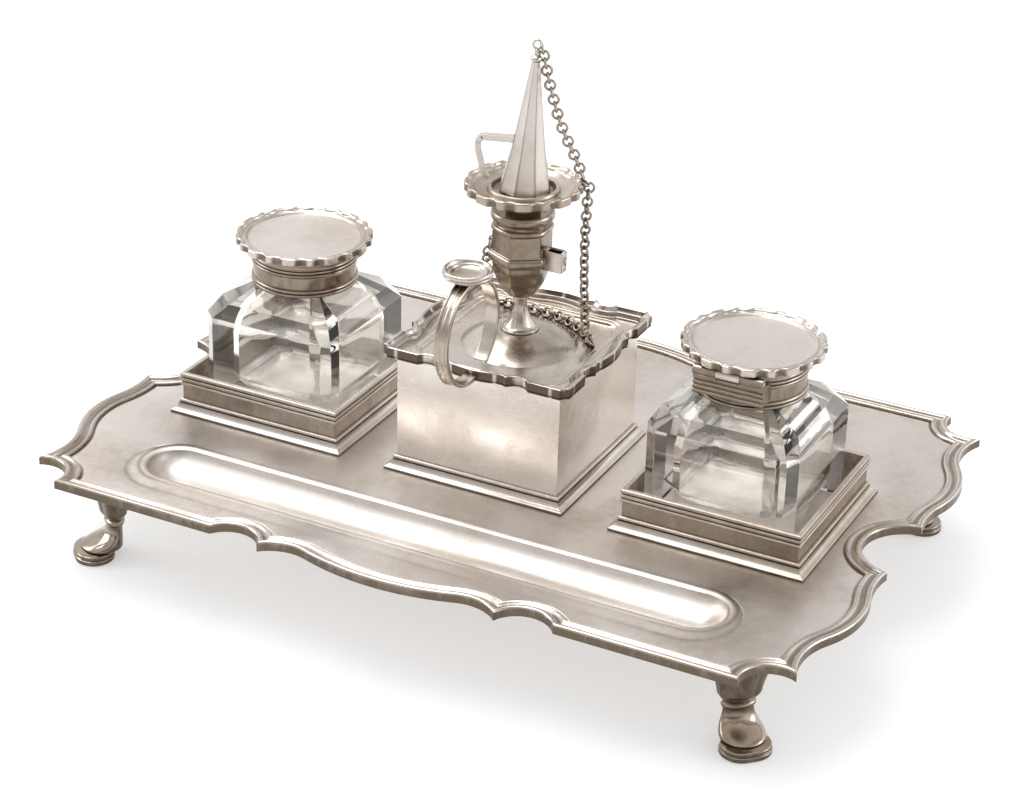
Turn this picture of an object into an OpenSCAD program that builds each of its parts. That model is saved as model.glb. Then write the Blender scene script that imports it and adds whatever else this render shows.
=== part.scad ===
// Desk inkstand: shaped tray on four feet, two cut glass inkwells in square galleries,
// and a square box whose cover is a small chamberstick with nozzle, snuffer and chain.
// Millimetres, +Z up. The origin is on the desk under the middle of the tray.

/* [Tray] */
// Width of the tray between the cusps at its two ends
tray_w = 298.6; // [294:0.2:306]
// Depth of the tray between the middle lobes of its long sides
tray_d = 213.2; // [208:0.2:218]
// Height of the flat field above the desk
field_h = 37.6; // [35:0.2:42]
// Thickness of the tray sheet
tray_t = 1.4; // [1:0.1:2]
// Width of the moulded border
border_w = 6.2; // [5.6:0.1:7]
// Height of the border's bead above the field
border_h = 1.5; // [1:0.1:2.2]
// Thickness of the border's outer skirt beside the sheet
skirt_t = 1.2; // [0.8:0.1:1.6]
// Drop of the outer skirt below the sheet
skirt_drop = 0.8; // [0.4:0.1:1.4]

/* [Tray outline] */
// Radius of the hollow in the middle of each end
end_notch_r = 17.6; // [16:0.2:19]
// Centre of that hollow beyond the cusps
end_notch_out = 3.3; // [2.4:0.1:4]
// Radius of the full curve on each half of an end
end_lobe_r = 38; // [34:0.5:42]
// How far the full curve stands out past the cusps
end_lobe_out = 2.9; // [2:0.1:4]
// Distance of the full curve's crest from the middle of the end
end_lobe_y = 47; // [45:0.5:49]
// Distance of the slack beside the end hollow from the middle of the end
end_slack_y = 24.5; // [23.5:0.5:26]
// Depth of that slack behind the cusps
end_slack_in = 0.7; // [0.4:0.1:1.4]
// Distance of the slack beside the corner from the middle of the end
flank_y = 79.5; // [77:0.5:81]
// Depth of the corner slack behind the cusps
flank_in = 5.8; // [5:0.1:7]
// Radius of the corner hollow
corner_r = 10.5; // [9.5:0.1:11]
// Corner hollow's centre in from the end cusps
corner_in_x = 8.3; // [7.8:0.1:9]
// Corner hollow's centre in from the long side
corner_in_y = 6.3; // [6:0.1:7]
// Straight run of the long side in from the middle lobe
straight_in = 3.5; // [3:0.1:4.2]
// Radius of the hollow in the long side
side_notch_r = 11.35; // [10.6:0.05:12]
// Distance of that hollow from the middle
side_notch_x = 56.2; // [54:0.2:60]
// Centre of that hollow beyond the middle lobe
side_notch_out = 2.5; // [1.8:0.1:3.2]
// Radius of the slack beside the middle lobe
side_slack_r = 16; // [15:0.1:17]
// Distance of that slack from the middle
side_slack_x = 34.2; // [33:0.1:35.4]
// Centre of that slack beyond the middle lobe
side_slack_out = 10.3; // [9.6:0.1:11]

/* [Pen trough] */
// Length of the trough's mouth
trough_len = 226; // [200:1:230]
// Width of the trough's mouth
trough_w = 24; // [20:0.5:28]
// Depth of the trough
trough_deep = 7; // [6:0.2:8]
// Distance of the trough's middle line behind the tray's front
trough_in = 37.6; // [35.6:0.2:40.6]
// Radius of the bead round the trough's mouth
trough_bead_r = 0.9; // [0.5:0.1:1.2]

/* [Feet] */
// Distance of a foot's leg in from the tray's end
foot_in_x = 26.5; // [23:0.1:31]
// Distance of a foot's leg in from the tray's long side
foot_in_y = 27.2; // [24:0.1:30]
// Reach of the pad outward from the leg
pad_reach = 8; // [6:0.2:10]
// Half of the pad's length, and the radius of its ends
pad_r = 7.2; // [6.4:0.1:8]
// Width of the pad beyond twice that radius
pad_extra = 3.6; // [2:0.1:5]
// Height of the pad
pad_h = 3.6; // [3:0.1:4.4]
// Height of the moulded band above the desk
ankle_h = 13.8; // [13:0.1:16]

/* [Galleries] */
// Distance of each gallery's middle in from the tray's end
gallery_in = 59.3; // [56:0.1:63]
// Outside width of a gallery's walls
gallery_w = 65.4; // [62:0.2:68]
// Height of a gallery
gallery_h = 15.4; // [13:0.2:18]
// Thickness of the gallery walls
gallery_t = 1.2; // [0.8:0.1:1.8]
// Height of the reeded rim
rim_h = 5; // [4:0.1:6]
// How far the reeds stand out of the wall
rim_out = 0.7; // [0.4:0.1:1]
// Height of the base mouldings of the galleries and the box
base_h = 5; // [4:0.1:6]
// How far the base mouldings stand out of the wall
base_out = 3.6; // [3:0.1:4.2]

/* [Stamp box] */
// Outside width of the box
box_w = 64; // [60:0.5:68]
// Height of the box's walls
box_h = 44.5; // [38:0.5:52]
// Thickness of the box's walls
box_t = 1.2; // [0.8:0.1:1.8]

/* [Inkwells] */
// Width of the glass block
glass_w = 56; // [52:0.5:58]
// Width of the cut on each upright corner
glass_cut = 5; // [3:0.5:7]
// Height of the block's upright faces
glass_side_h = 38.5; // [34:0.5:42]
// Height of the shoulder where the collar stands
shoulder_h = 49.3; // [46:0.1:52]
// Radius of the glass neck
neck_r = 17; // [16:0.1:17.6]
// Radius of the ink cavity
cavity_r = 14; // [11:0.5:15]
// Thickness of the glass under the ink
glass_floor = 9; // [6:0.5:14]
// How far each well stands from its gallery's middle toward the box
well_shift = 0.9; // [0:0.1:2]

/* [Collars and lids] */
// Height of a collar
collar_h = 12.7; // [11:0.1:14]
// Radius of a collar's plain band
collar_r = 18.9; // [18.6:0.1:19.4]
// How far the collar's reeds stand out
collar_reed = 0.8; // [0.5:0.1:1]
// Radius of a lid over the lobes of its border
lid_r = 25.2; // [24.4:0.1:26]
// Height of a lid from the collar to the crest of its border
lid_h = 4.9; // [4.4:0.1:5.6]
// Width of a lid's border
lid_border_w = 4.6; // [3.6:0.1:5.4]
// Length of the hinge barrel
hinge_len = 25.4; // [22:0.2:28]
// Radius of the hinge barrel
hinge_r = 1.7; // [1.5:0.1:1.9]
// Radius of the hinge pin
pin_r = 0.8; // [0.6:0.05:0.9]
// Distance of the hinge axis from the well's middle
hinge_y = 21.6; // [21.3:0.1:22.2]

/* [Scalloped borders] */
// Repeats of the scallop pattern round a lid
lid_scallops = 10; // [8:1:12]
// Repeats of the scallop pattern round the nozzle's drip pan
drip_scallops = 8; // [6:1:10]
// Radius of each scallop's hollow
scallop_r = 2.4; // [2:0.1:2.8]
// Depth of each scallop's hollow
scallop_deep = 1; // [0.6:0.1:1.2]

/* [Chamberstick] */
// Half of the pan's width at its middle lobes
pan_half = 37.4; // [36.5:0.1:38.5]
// Thickness of the pan's sheet
pan_t = 1; // [0.8:0.1:1.4]
// Height of the pan's border above the flange
pan_rim_h = 3.5; // [2.8:0.1:4.4]
// Half width of the pan's sunk well
pan_well = 27; // [25:0.2:28]
// Depth of the sunk well
pan_sink = 1.5; // [1:0.1:2.5]
// Depth of the flange that locates the pan in the box
locate_h = 4; // [3:0.2:6]
// Corner radius of the six-sided socket
socket_r = 10.9; // [10:0.1:11.6]
// Radius of the low dome in the pan's well
dome_r = 21; // [19:0.2:21.4]
// Height of that dome
dome_h = 5.8; // [4:0.2:7]
// Height of the stem between the dome and the socket
stem_h = 13.4; // [12:0.2:16]
// Radius of the stem's foot
stem_foot_r = 7; // [6:0.2:8]
// Radius of the stem's neck
stem_neck_r = 2.3; // [2:0.1:2.8]
// Radius of the small ring under the socket
stem_knop_r = 3.1; // [2.9:0.1:3.8]
// Height of the socket's bowl
bowl_h = 13.8; // [12:0.2:15]
// Height of the socket's drum
drum_h = 14.3; // [13:0.1:16]
// Height of the flared cup over the drum
cup_h = 4.2; // [3.6:0.1:5]
// Outer radius of the handle ring
handle_r = 19.2; // [17:0.2:20]
// Width of the handle's band
handle_w = 5.2; // [4:0.2:7]
// Thickness of the handle's band
handle_t = 1.3; // [1:0.1:1.8]
// Radius of the thumb plate
thumb_r = 8.8; // [8:0.1:10]
// Height of the hook bracket
bracket_h = 9.3; // [8:0.1:11]

/* [Nozzle and snuffer] */
// Radius of the nozzle's spigot
spigot_r = 6.2; // [5.6:0.1:6.6]
// Length of the spigot inside the socket
spigot_h = 9.5; // [8:0.1:12]
// Radius of the taper's bore
taper_r = 5.1; // [4.6:0.1:5.2]
// Radius of the drip pan over its lobes
drip_r = 20.8; // [20:0.1:22]
// Height of the drip pan's ring above the socket's cup
drip_lift = 8.5; // [7:0.1:10]
// Radius of the snuffer's mouth
snuffer_r = 9.5; // [8.8:0.1:9.6]
// Length of the snuffer's cone
snuffer_h = 47; // [42:0.2:50]
// Lean of the snuffer
snuffer_lean = 3.2; // [0:0.1:4]
// Direction of that lean, across the usual view
snuffer_turn = 26.5; // [20:0.5:32]
// Width of the hook's strip
hook_w = 2.6; // [2:0.1:3.4]

/* [Chain] */
// Radius of a link's wire
wire_r = 0.31; // [0.26:0.01:0.34]
// Radius of a link's centre line
link_r = 1.54; // [1.5:0.01:1.6]

/* [Clearances] */
// Radial clearance of a turned fit that lifts out or turns
fit_gap = 0.05; // [0.02:0.01:0.1]
// Clearance of a loose sheet metal fit
loose_gap = 0.3; // [0.2:0.05:0.5]

/* [Hidden] */
$fn = 48;
eps = 0.01;

silver = "silver";
bright_silver = "gainsboro";
glass_tint = "lightcyan";

half_w = tray_w / 2;
half_d = tray_d / 2;
trough_y = half_d - trough_in;
foot_x = half_w - foot_in_x;
foot_y = half_d - foot_in_y;
gallery_x = half_w - gallery_in;
collar_top = shoulder_h + collar_h;
hinge_z = collar_top - 0.2;
pan_z = box_h + pan_t;
well_z = pan_z - pan_sink;
stem_z = well_z + dome_h;
bowl_z = stem_z + stem_h;
drum_z = bowl_z + bowl_h;
cup_z = drum_z + drum_h;
socket_top = cup_z + cup_h;
ring_z = socket_top + drip_lift;
pan_edge = pan_half - 1;

// Geometry helpers

// Point on a circle
function on_circle(c, r, a) = c + r * [cos(a), sin(a)];

// Angle of a point seen from a centre
function bearing(c, p) = atan2(p[1] - c[1], p[0] - c[0]);

// The short way round from one angle to another
function turn_to(a, b) = b - a - 360 * round((b - a) / 360);

// Points along an arc from p0 toward p1, without p1
function arc_to(c, p0, p1, n) =
  let (r = norm(p0 - c), a = bearing(c, p0), t = turn_to(a, bearing(c, p1)))
  [for (i = [0:n - 1]) on_circle(c, r, a + t * i / n)];

// Where two circles meet, on the side that s picks
function meet(c1, r1, c2, r2, s) =
  let (v = c2 - c1, d = norm(v), u = v / d, a = (r1 * r1 - r2 * r2 + d * d) / (2 * d))
  let (h = sqrt(max(0, r1 * r1 - a * a)))
  c1 + a * u + s * h * [-u[1], u[0]];

// Half chord of a circle at a distance from its centre
function half_chord(r, d) = sqrt(max(0, r * r - d * d));

// Radius of a fillet whose crest lies at (a, b) from a full curve of radius r
function fillet_radius(a, b, r) = (a * a + b * b - r * r) / (2 * (r - a));

// Radius of a middle lobe that runs smoothly into the slack beside it
function lobe_radius(x, out, r) = (x * x + out * out - r * r) / (2 * (r - out));

// Half of a shaped side, from the corner hollow to the middle lobe, drawn in by d.
// s = [crest, straight, notch x, notch out, notch r, slack x, slack out, slack r, corner, corner r]
function half_side(s, d, n) =
  let (y = s[1] - d, c4 = s[8], r4 = s[9] + d)
  let (c6 = [s[2], s[0] + s[3]], r6 = s[4] + d)
  let (c7 = [s[5], s[0] + s[6]], r7 = s[7] + d)
  let (big = lobe_radius(s[5], s[6], s[7]), c8 = [0, s[0] - big])
  let (k2 = [c4[0] - half_chord(r4, y - c4[1]), y])
  let (k3 = [c6[0] + half_chord(r6, y - c6[1]), y])
  let (k4 = meet(c6, r6, c7, r7, 1))
  let (j = c8 + (big - d) * (c7 - c8) / norm(c7 - c8))
  concat([k2], arc_to(c6, k3, k4, n + 2), arc_to(c7, k4, j, n), arc_to(c8, j, [0, s[0] - d], n), [[0, s[0] - d]]);

// Start of the shaped side, at the corner hollow
function side_start(s, d) = [s[8][0] - half_chord(s[9] + d, s[1] - d - s[8][1]), s[1] - d];

// All four quarters of an outline from one quarter between the X and Y axes
function four_quarters(q) =
  let (m = len(q) - 1)
  concat(
    [for (i = [0:m - 1]) q[i]],
    [for (i = [m:-1:1]) [-q[i][0], q[i][1]]],
    [for (i = [0:m - 1]) [-q[i][0], -q[i][1]]],
    [for (i = [m:-1:1]) [q[i][0], -q[i][1]]]
  );

tray_side = [half_d, half_d - straight_in, side_notch_x, side_notch_out, side_notch_r,
  side_slack_x, side_slack_out, side_slack_r,
  [half_w - corner_in_x, half_d - corner_in_y], corner_r];

// One quarter of the tray's outline, drawn in by d
function tray_quarter(d) =
  let (c0 = [half_w + end_notch_out, 0], r0 = end_notch_r + d)
  let (c2 = [half_w + end_lobe_out - end_lobe_r, end_lobe_y], r2 = end_lobe_r)
  let (x1 = half_w - end_slack_in, r1 = fillet_radius(x1 - c2[0], end_slack_y - c2[1], r2))
  let (c1 = [x1 + r1, end_slack_y])
  let (x3 = half_w - flank_in, r3 = fillet_radius(x3 - c2[0], flank_y - c2[1], r2))
  let (c3 = [x3 + r3, flank_y], c4 = tray_side[8], r4 = corner_r + d)
  let (k0 = meet(c0, r0, c1, r1 + d, 1), k1 = meet(c3, r3 + d, c4, r4, 1))
  let (j1 = c2 + (r2 - d) * (c1 - c2) / norm(c1 - c2), j3 = c2 + (r2 - d) * (c3 - c2) / norm(c3 - c2))
  concat(
    arc_to(c0, [c0[0] - r0, 0], k0, 4), arc_to(c1, k0, j1, 2), arc_to(c2, j1, j3, 5),
    arc_to(c3, j3, k1, 3), arc_to(c4, k1, side_start(tray_side, d), 4), half_side(tray_side, d, 3)
  );

function tray_outline(d) = four_quarters(tray_quarter(d));

pan_side = [pan_half, pan_edge, 17.4, 1.9, 5, 10.5, 3.4, 5, [pan_half + 1, pan_half + 1], 5];

// One quarter of the pan's outline, the same on both sides of the diagonal
function pan_quarter(d) =
  let (h = half_side(pan_side, d, 2), m = len(h) - 1)
  let (c = pan_side[8], k = h[0])
  concat([for (i = [m:-1:1]) [h[i][1], h[i][0]]], arc_to(c, [k[1], k[0]], k, 4), h);

function pan_outline(d) = four_quarters(pan_quarter(d));

// Square outline drawn in by d
function square_outline(h, d) = [[h - d, h - d], [d - h, h - d], [d - h, d - h], [h - d, d - h]];

// Ring-shaped moulding through stacked outlines, one for each point of its section
module moulding(rings, heights) {
  k = len(rings);
  n = len(rings[0]);
  points = [for (j = [0:k - 1]) for (p = rings[j]) [p[0], p[1], heights[j]]];
  faces = [for (j = [0:k - 1]) for (i = [0:n - 1])
    [j * n + i, j * n + (i + 1) % n, ((j + 1) % k) * n + (i + 1) % n, ((j + 1) % k) * n + i]];
  polyhedron(points, faces, convexity = 8);
}

// Square with rounded corners
module rounded_square(half, r) {
  square([2 * half, 2 * (half - r)], center = true);
  square([2 * (half - r), 2 * half], center = true);
  for (x = [-1, 1], y = [-1, 1])
    translate([x * (half - r), y * (half - r)])
      circle(r);
}

// Puts its children on the tray's field
module on_field() {
  translate([0, 0, field_h])
    children();
}

// Tray

// Centre of the trough's round section above the field
trough_round = (trough_w * trough_w / 4 + trough_deep * trough_deep) / (2 * trough_deep);
trough_up = trough_round - trough_deep;
trough_run = trough_len - trough_w;

// Half section of a bowl of radius r about the trough's round centre, cut at height top
module trough_half_section(r, top) {
  intersection() {
    translate([0, trough_up])
      circle(r, $fn = 96);
    translate([0, -2 * r])
      square([2 * r, 2 * r + top]);
  }
}

// Stretched bowl: a straight run with a half turn at each end
module trough_form(r, top) {
  rotate([90, 0, 90])
    linear_extrude(height = trough_run, center = true) {
      trough_half_section(r, top);
      mirror([1, 0])
        trough_half_section(r, top);
    }
  for (s = [0, 1])
    rotate(180 * s)
      translate([trough_run / 2, 0, 0])
        rotate(-90)
          rotate_extrude(angle = 180)
            trough_half_section(r, top);
}

// Round bead a little way out from the trough's mouth
bead_out = trough_w / 2 + 0.5 + trough_bead_r;

module trough_bead() {
  for (s = [-1, 1])
    translate([0, s * bead_out, 0])
      rotate([0, 90, 0])
        cylinder(r = trough_bead_r, h = trough_run, center = true, $fn = 24);
  for (s = [0, 1])
    rotate(180 * s)
      translate([trough_run / 2, 0, 0])
        rotate(-90)
          rotate_extrude(angle = 180)
            translate([bead_out, 0])
              circle(trough_bead_r, $fn = 24);
}

module tray_plate() {
  color(silver)
    on_field()
      difference() {
        union() {
          translate([0, 0, -tray_t])
            linear_extrude(height = tray_t)
              polygon(tray_outline(skirt_t));
          translate([0, -trough_y, 0])
            trough_form(trough_round + tray_t, -tray_t / 2);
          translate([0, -trough_y, 0])
            trough_bead();
        }
        translate([0, -trough_y, 0])
          trough_form(trough_round, 0.2);
      }
}

// Section of the tray's border: distance in from the edge, and height above the field
border_section = [
  [skirt_t, -tray_t - skirt_drop], [0.25, -tray_t - skirt_drop], [0, -tray_t - skirt_drop + 0.4],
  [0, 0.4], [0.45, border_h - 0.3], [1.3, border_h], [2.2, border_h - 0.35],
  [0.47 * border_w, 0.35], [0.65 * border_w, 0.35], [0.8 * border_w, 0.8], [0.92 * border_w, 0.6],
  [border_w, 0], [skirt_t, 0],
];

module tray_border() {
  color(bright_silver)
    on_field()
      moulding([for (p = border_section) tray_outline(p[0])], [for (p = border_section) p[1]]);
}

// Feet

// Rings of a leg: outward place, height above the desk, half width, half depth, tilt
leg_top = field_h - tray_t;
leg_rings = [
  [0, leg_top, 10.6, 7.6, 0],
  [0, leg_top - 6, 9.8, 7, 0],
  [0, ankle_h + 9.6, 8.4, 6, 0],
  [0, ankle_h + 5.2, 7.2, 4.9, 0],
  [0, ankle_h + 2.4, 5.5, 3.4, 0],
  [0, ankle_h + 1.2, 4.8, 2.7, 0],
  [0, ankle_h + 0.6, 5.3, 3.2, 0],
  [0, ankle_h - 0.6, 5.3, 3.2, 0],
  [0, ankle_h - 1, 4.6, 2.5, 0],
  [0, ankle_h - 3.8, 4.8, 2.6, 0],
  [0.3, ankle_h - 5.4, 5.2, 2.8, 10],
  [0.9, pad_h + 3.6, 5.7, 3.1, 22],
  [2.4, pad_h + 2.7, 6.2, 3.2, 38],
  [5, pad_h + 2, 6.8, 3, 60],
  [8.6, pad_h + 1.7, 6.8, 2.5, 78],
  [11, pad_h + 1.3, 5.4, 1.6, 86],
  [12.3, pad_h + 1, 3.2, 0.8, 90],
];
leg_sides = 16;

// Point i of a leg's ring, which leans outward by its tilt
function leg_point(r, i) =
  let (a = 360 * i / leg_sides, u = r[3] * cos(a), v = r[2] * sin(a))
  [r[0] + u * cos(r[4]), v, r[1] + u * sin(r[4])];

module leg() {
  n = leg_sides;
  m = len(leg_rings);
  points = [for (r = leg_rings) for (i = [0:n - 1]) leg_point(r, i)];
  sides = [for (j = [0:m - 2]) for (i = [0:n - 1])
    [j * n + i, j * n + (i + 1) % n, (j + 1) * n + (i + 1) % n, (j + 1) * n + i]];
  caps = [[for (i = [n - 1:-1:0]) i], [for (i = [0:n - 1]) (m - 1) * n + i]];
  polyhedron(points, concat(sides, caps), convexity = 4);
}

// Flat form of the pad, longer across the foot than along it
module pad_shape(r) {
  for (s = [-1, 1])
    translate([0, s * pad_extra / 2])
      circle(r);
  square([2 * r, pad_extra], center = true);
}

// A foot whose toe points along the angle a
module foot(x, y, a) {
  color(silver)
    translate([x, y, 0])
      rotate(a) {
        leg();
        translate([pad_reach, 0, 0]) {
          linear_extrude(height = 0.6 * pad_h)
            pad_shape(pad_r);
          linear_extrude(height = pad_h)
            pad_shape(pad_r - 0.7);
        }
      }
}

module front_left_foot() foot(-foot_x, -foot_y, 225);
module front_right_foot() foot(foot_x, -foot_y, 315);
module back_left_foot() foot(-foot_x, foot_y, 135);
module back_right_foot() foot(foot_x, foot_y, 45);

// Galleries and box

module four_walls(w, t, h) {
  linear_extrude(height = h)
    difference() {
      square(w, center = true);
      square(w - 2 * t, center = true);
    }
}

// Section of the reeded rim: distance out of the wall, and share of its height
rim_section = [
  [-gallery_t, 1], [-gallery_t, 1 - 0.3 / rim_h], [0, 1 - 0.3 / rim_h], [0, 0],
  [0.6 * rim_out, 0.04], [rim_out, 0.16], [rim_out, 0.34], [0.45 * rim_out, 0.46],
  [rim_out, 0.58], [rim_out, 0.86], [0.5 * rim_out, 1],
];

module gallery_wall(x) {
  color(silver)
    on_field()
      translate([x, 0, 0])
        four_walls(gallery_w, gallery_t, gallery_h - 0.3);
}

module gallery_rim(x) {
  color(bright_silver)
    on_field()
      translate([x, 0, gallery_h - rim_h])
        moulding([for (p = rim_section) square_outline(gallery_w / 2, -p[0])], [for (p = rim_section) rim_h * p[1]]);
}

// Section of a base moulding: share of its reach, and share of its height
base_section = [
  [0, 0], [1, 0], [1, 0.2], [0.9, 0.26], [0.86, 0.34], [0.72, 0.46],
  [0.5, 0.56], [0.34, 0.66], [0.26, 0.78], [0.24, 0.9], [0.16, 1], [0, 1],
];

module base_moulding(w) {
  color(bright_silver)
    on_field()
      moulding([for (p = base_section) square_outline(w / 2, -base_out * p[0])], [for (p = base_section) base_h * p[1]]);
}

module left_gallery_wall() gallery_wall(-gallery_x);
module right_gallery_wall() gallery_wall(gallery_x);
module left_gallery_rim() gallery_rim(-gallery_x);
module right_gallery_rim() gallery_rim(gallery_x);
module left_gallery_base() translate([-gallery_x, 0, 0]) base_moulding(gallery_w);
module right_gallery_base() translate([gallery_x, 0, 0]) base_moulding(gallery_w);

module stamp_box_wall() {
  color(silver)
    on_field()
      four_walls(box_w, box_t, box_h);
}

module stamp_box_base() base_moulding(box_w);

// Inkwells. Each is drawn about its own middle, with its hinge toward +Y.

// Place of a well: side is -1 or 1, and a well on the right stands turned half round
module at_well(side) {
  on_field()
    translate([side * (gallery_x - well_shift), 0, 0])
      rotate(side > 0 ? 180 : 0)
        children();
}

// Square with its corners cut
function cut_square(h, c) = [
  [h, c - h], [h, h - c], [h - c, h], [c - h, h],
  [-h, h - c], [-h, c - h], [c - h, -h], [h - c, -h],
];

module glass_slice(z, h, c) {
  translate([0, 0, z])
    linear_extrude(height = eps)
      polygon(cut_square(h, c));
}

cavity_bottom_r = 5;

module inkwell_glass(side) {
  half = glass_w / 2;
  mid = glass_side_h + 0.45 * (shoulder_h - glass_side_h);
  color(glass_tint, 0.5)
    at_well(side)
      difference() {
        union() {
          linear_extrude(height = glass_side_h)
            polygon(cut_square(half, glass_cut));
          hull() {
            glass_slice(glass_side_h - eps, half, glass_cut);
            glass_slice(mid - eps, half - 3.2, glass_cut + 2.2);
          }
          hull() {
            glass_slice(mid - eps, half - 3.2, glass_cut + 2.2);
            translate([0, 0, shoulder_h - eps])
              cylinder(r = neck_r + 2.4, h = eps, $fn = 32);
          }
          translate([0, 0, shoulder_h - 1])
            cylinder(r = neck_r, h = collar_h - 2.9);
        }
        rotate_extrude() {
          translate([0, glass_floor])
            square([cavity_r - cavity_bottom_r, shoulder_h + collar_h]);
          translate([0, glass_floor + cavity_bottom_r])
            square([cavity_r, shoulder_h + collar_h]);
          intersection() {
            translate([cavity_r - cavity_bottom_r, glass_floor + cavity_bottom_r])
              circle(cavity_bottom_r);
            translate([0, glass_floor])
              square([cavity_r, 2 * cavity_bottom_r]);
          }
        }
      }
}

// Section of the collar: a reeded foot, a plain band, a reeded head and a lip over the neck
collar_bore = neck_r + fit_gap;
mouth_r = cavity_r + 0.6;

module collar_section() {
  t = collar_reed;
  h = collar_h;
  difference() {
    polygon([
      [mouth_r, 0], [collar_r + t, 0], [collar_r + t, 0.8], [collar_r + 0.3 * t, 1.1],
      [collar_r + t, 1.5], [collar_r + t, 2.3], [collar_r, 3], [collar_r, h - 5.2],
      [collar_r + 0.9 * t, h - 4.6], [collar_r + 0.9 * t, h - 3.7], [collar_r + 0.2 * t, h - 3.3],
      [collar_r + 0.9 * t, h - 2.9], [collar_r + 0.9 * t, h - 2], [collar_r - 0.3, h - 1.2],
      [collar_r - 0.3, h], [mouth_r, h],
    ]);
    translate([0, -1])
      square([collar_bore, h - 2.9 + fit_gap]);
  }
}

// Reeded block that carries the barrel, along the back of the collar
block_top = collar_h - 0.2 - hinge_r - 0.1;
block_h = 7.2;
block_out = hinge_y - 0.1;
reeds = 4;
reed_pitch = block_h / reeds;

module hinge_block() {
  translate([-hinge_len / 2, collar_bore + 0.2, block_top - block_h])
    cube([hinge_len, block_out - collar_bore - 0.2, block_h]);
  for (i = [0:reeds - 1])
    translate([0, block_out, block_top - reed_pitch * (i + 0.5)])
      rotate([0, 90, 0])
        cylinder(r = 0.4 * reed_pitch, h = hinge_len, center = true, $fn = 24);
}

knuckle = 0.66 * hinge_len / 2;
lid_knuckle = hinge_len - 2 * knuckle;

// Barrel piece between two places along the hinge
module barrel(x0, x1, r) {
  translate([x0, hinge_y, 0])
    rotate([0, 90, 0])
      cylinder(r = r, h = x1 - x0);
}

module collar(side) {
  color(silver)
    at_well(side)
      difference() {
        union() {
          translate([0, 0, shoulder_h])
            rotate_extrude()
              collar_section();
          difference() {
            translate([0, 0, shoulder_h])
              hinge_block();
            cylinder(r = collar_bore + 0.2, h = 2 * shoulder_h);
          }
          for (s = [0, 1])
            mirror([s, 0, 0]) {
              translate([0, 0, hinge_z])
                barrel(lid_knuckle / 2 + fit_gap, hinge_len / 2, hinge_r);
              translate([lid_knuckle / 2 + fit_gap, hinge_y - 0.7 * hinge_r, hinge_z - hinge_r - 0.5])
                cube([knuckle - fit_gap, 1.1 * hinge_r, hinge_r]);
            }
        }
        translate([0, 0, hinge_z])
          barrel(-hinge_len, hinge_len, pin_r + fit_gap / 2);
        translate([0, 0, hinge_z])
          barrel(-lid_knuckle / 2 - fit_gap, lid_knuckle / 2 + fit_gap, hinge_r + loose_gap / 2);
      }
}

module hinge_pin(side) {
  color(bright_silver)
    at_well(side)
      translate([0, 0, hinge_z])
        barrel(-hinge_len / 2 - 0.3, hinge_len / 2 + 0.3, pin_r);
}

lid_edge_r = lid_r - 1.6;
lid_plate_h = 2.4;
lid_plate_t = 1;
lid_seat_r = collar_r - 0.5;

module lid(side) {
  top = lid_plate_h + lid_plate_t;
  color(silver)
    at_well(side)
      difference() {
        union() {
          translate([0, 0, collar_top])
            rotate_extrude()
              polygon([
                [0, lid_plate_h], [mouth_r + 1, lid_plate_h], [mouth_r + 1.4, 0], [lid_seat_r, 0],
                [lid_seat_r + 0.7, 0.9], [lid_edge_r - 2.2, 1.8], [lid_edge_r, lid_plate_h - 0.1],
                [lid_edge_r, top], [0, top],
              ]);
          translate([0, 0, hinge_z])
            barrel(-lid_knuckle / 2, lid_knuckle / 2, hinge_r);
          translate([-lid_knuckle / 2, hinge_y - 3.4, collar_top + 0.02])
            cube([lid_knuckle, 3.4, 1.4]);
        }
        for (s = [0, 1])
          mirror([s, 0, 0])
            translate([0, 0, hinge_z])
              barrel(lid_knuckle / 2, hinge_len / 2 + 0.6, hinge_r + loose_gap);
        translate([0, 0, hinge_z])
          barrel(-lid_knuckle, lid_knuckle, pin_r + fit_gap);
      }
}

// Hollows of a scalloped edge, wider upward by spread: n pairs
module scallop_cuts(n, r, h, spread) {
  step = 360 / n;
  for (i = [0:n - 1], s = [-1, 1])
    rotate(step * (i + 0.5) + s * 0.21 * step)
      translate([r - scallop_deep + scallop_r, 0, 0])
        cylinder(r1 = scallop_r, r2 = scallop_r + spread, h = h, $fn = 32);
}

module lid_border(side) {
  low = lid_plate_h - 0.1;
  top = lid_plate_h + lid_plate_t;
  crest = lid_h - top;
  lean = 1;
  color(bright_silver)
    at_well(side)
      translate([0, 0, collar_top]) {
        difference() {
          union() {
            translate([0, 0, low])
              cylinder(r = lid_r, h = top - low);
            translate([0, 0, top])
              cylinder(r1 = lid_r, r2 = lid_r - lean, h = crest);
          }
          translate([0, 0, low - 1])
            cylinder(r = lid_edge_r, h = top - low + 1);
          translate([0, 0, top - eps])
            cylinder(r1 = lid_r - lid_border_w, r2 = lid_r - lean - 1, h = crest + 2 * eps);
          translate([0, 0, low])
            scallop_cuts(lid_scallops, lid_r, top - low, 0);
          translate([0, 0, top])
            scallop_cuts(lid_scallops, lid_r, crest, lean);
        }
      }
}

// Chamberstick

dome_top_r = stem_foot_r + 0.3;

// Line of the dome from its foot up to the small flat that carries the stem, as radius and height
function dome_line(r, h, n) =
  let (c = (r * r - dome_top_r * dome_top_r - h * h) / (2 * h), big = sqrt(r * r + c * c))
  let (a = asin(r / big), b = asin(dome_top_r / big))
  [for (i = [0:n]) let (t = a + (b - a) * i / n) [big * sin(t), big * cos(t) - c]];

module pan_dome() {
  outside = dome_line(dome_r, dome_h, 10);
  inside = dome_line(dome_r - 0.6, dome_h, 10);
  translate([0, 0, well_z])
    rotate_extrude()
      polygon(concat(
        outside, [[0, dome_h], [0, dome_h - pan_t]],
        [for (i = [10:-1:0]) [inside[i][0], inside[i][1] - pan_t]]
      ));
}

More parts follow.
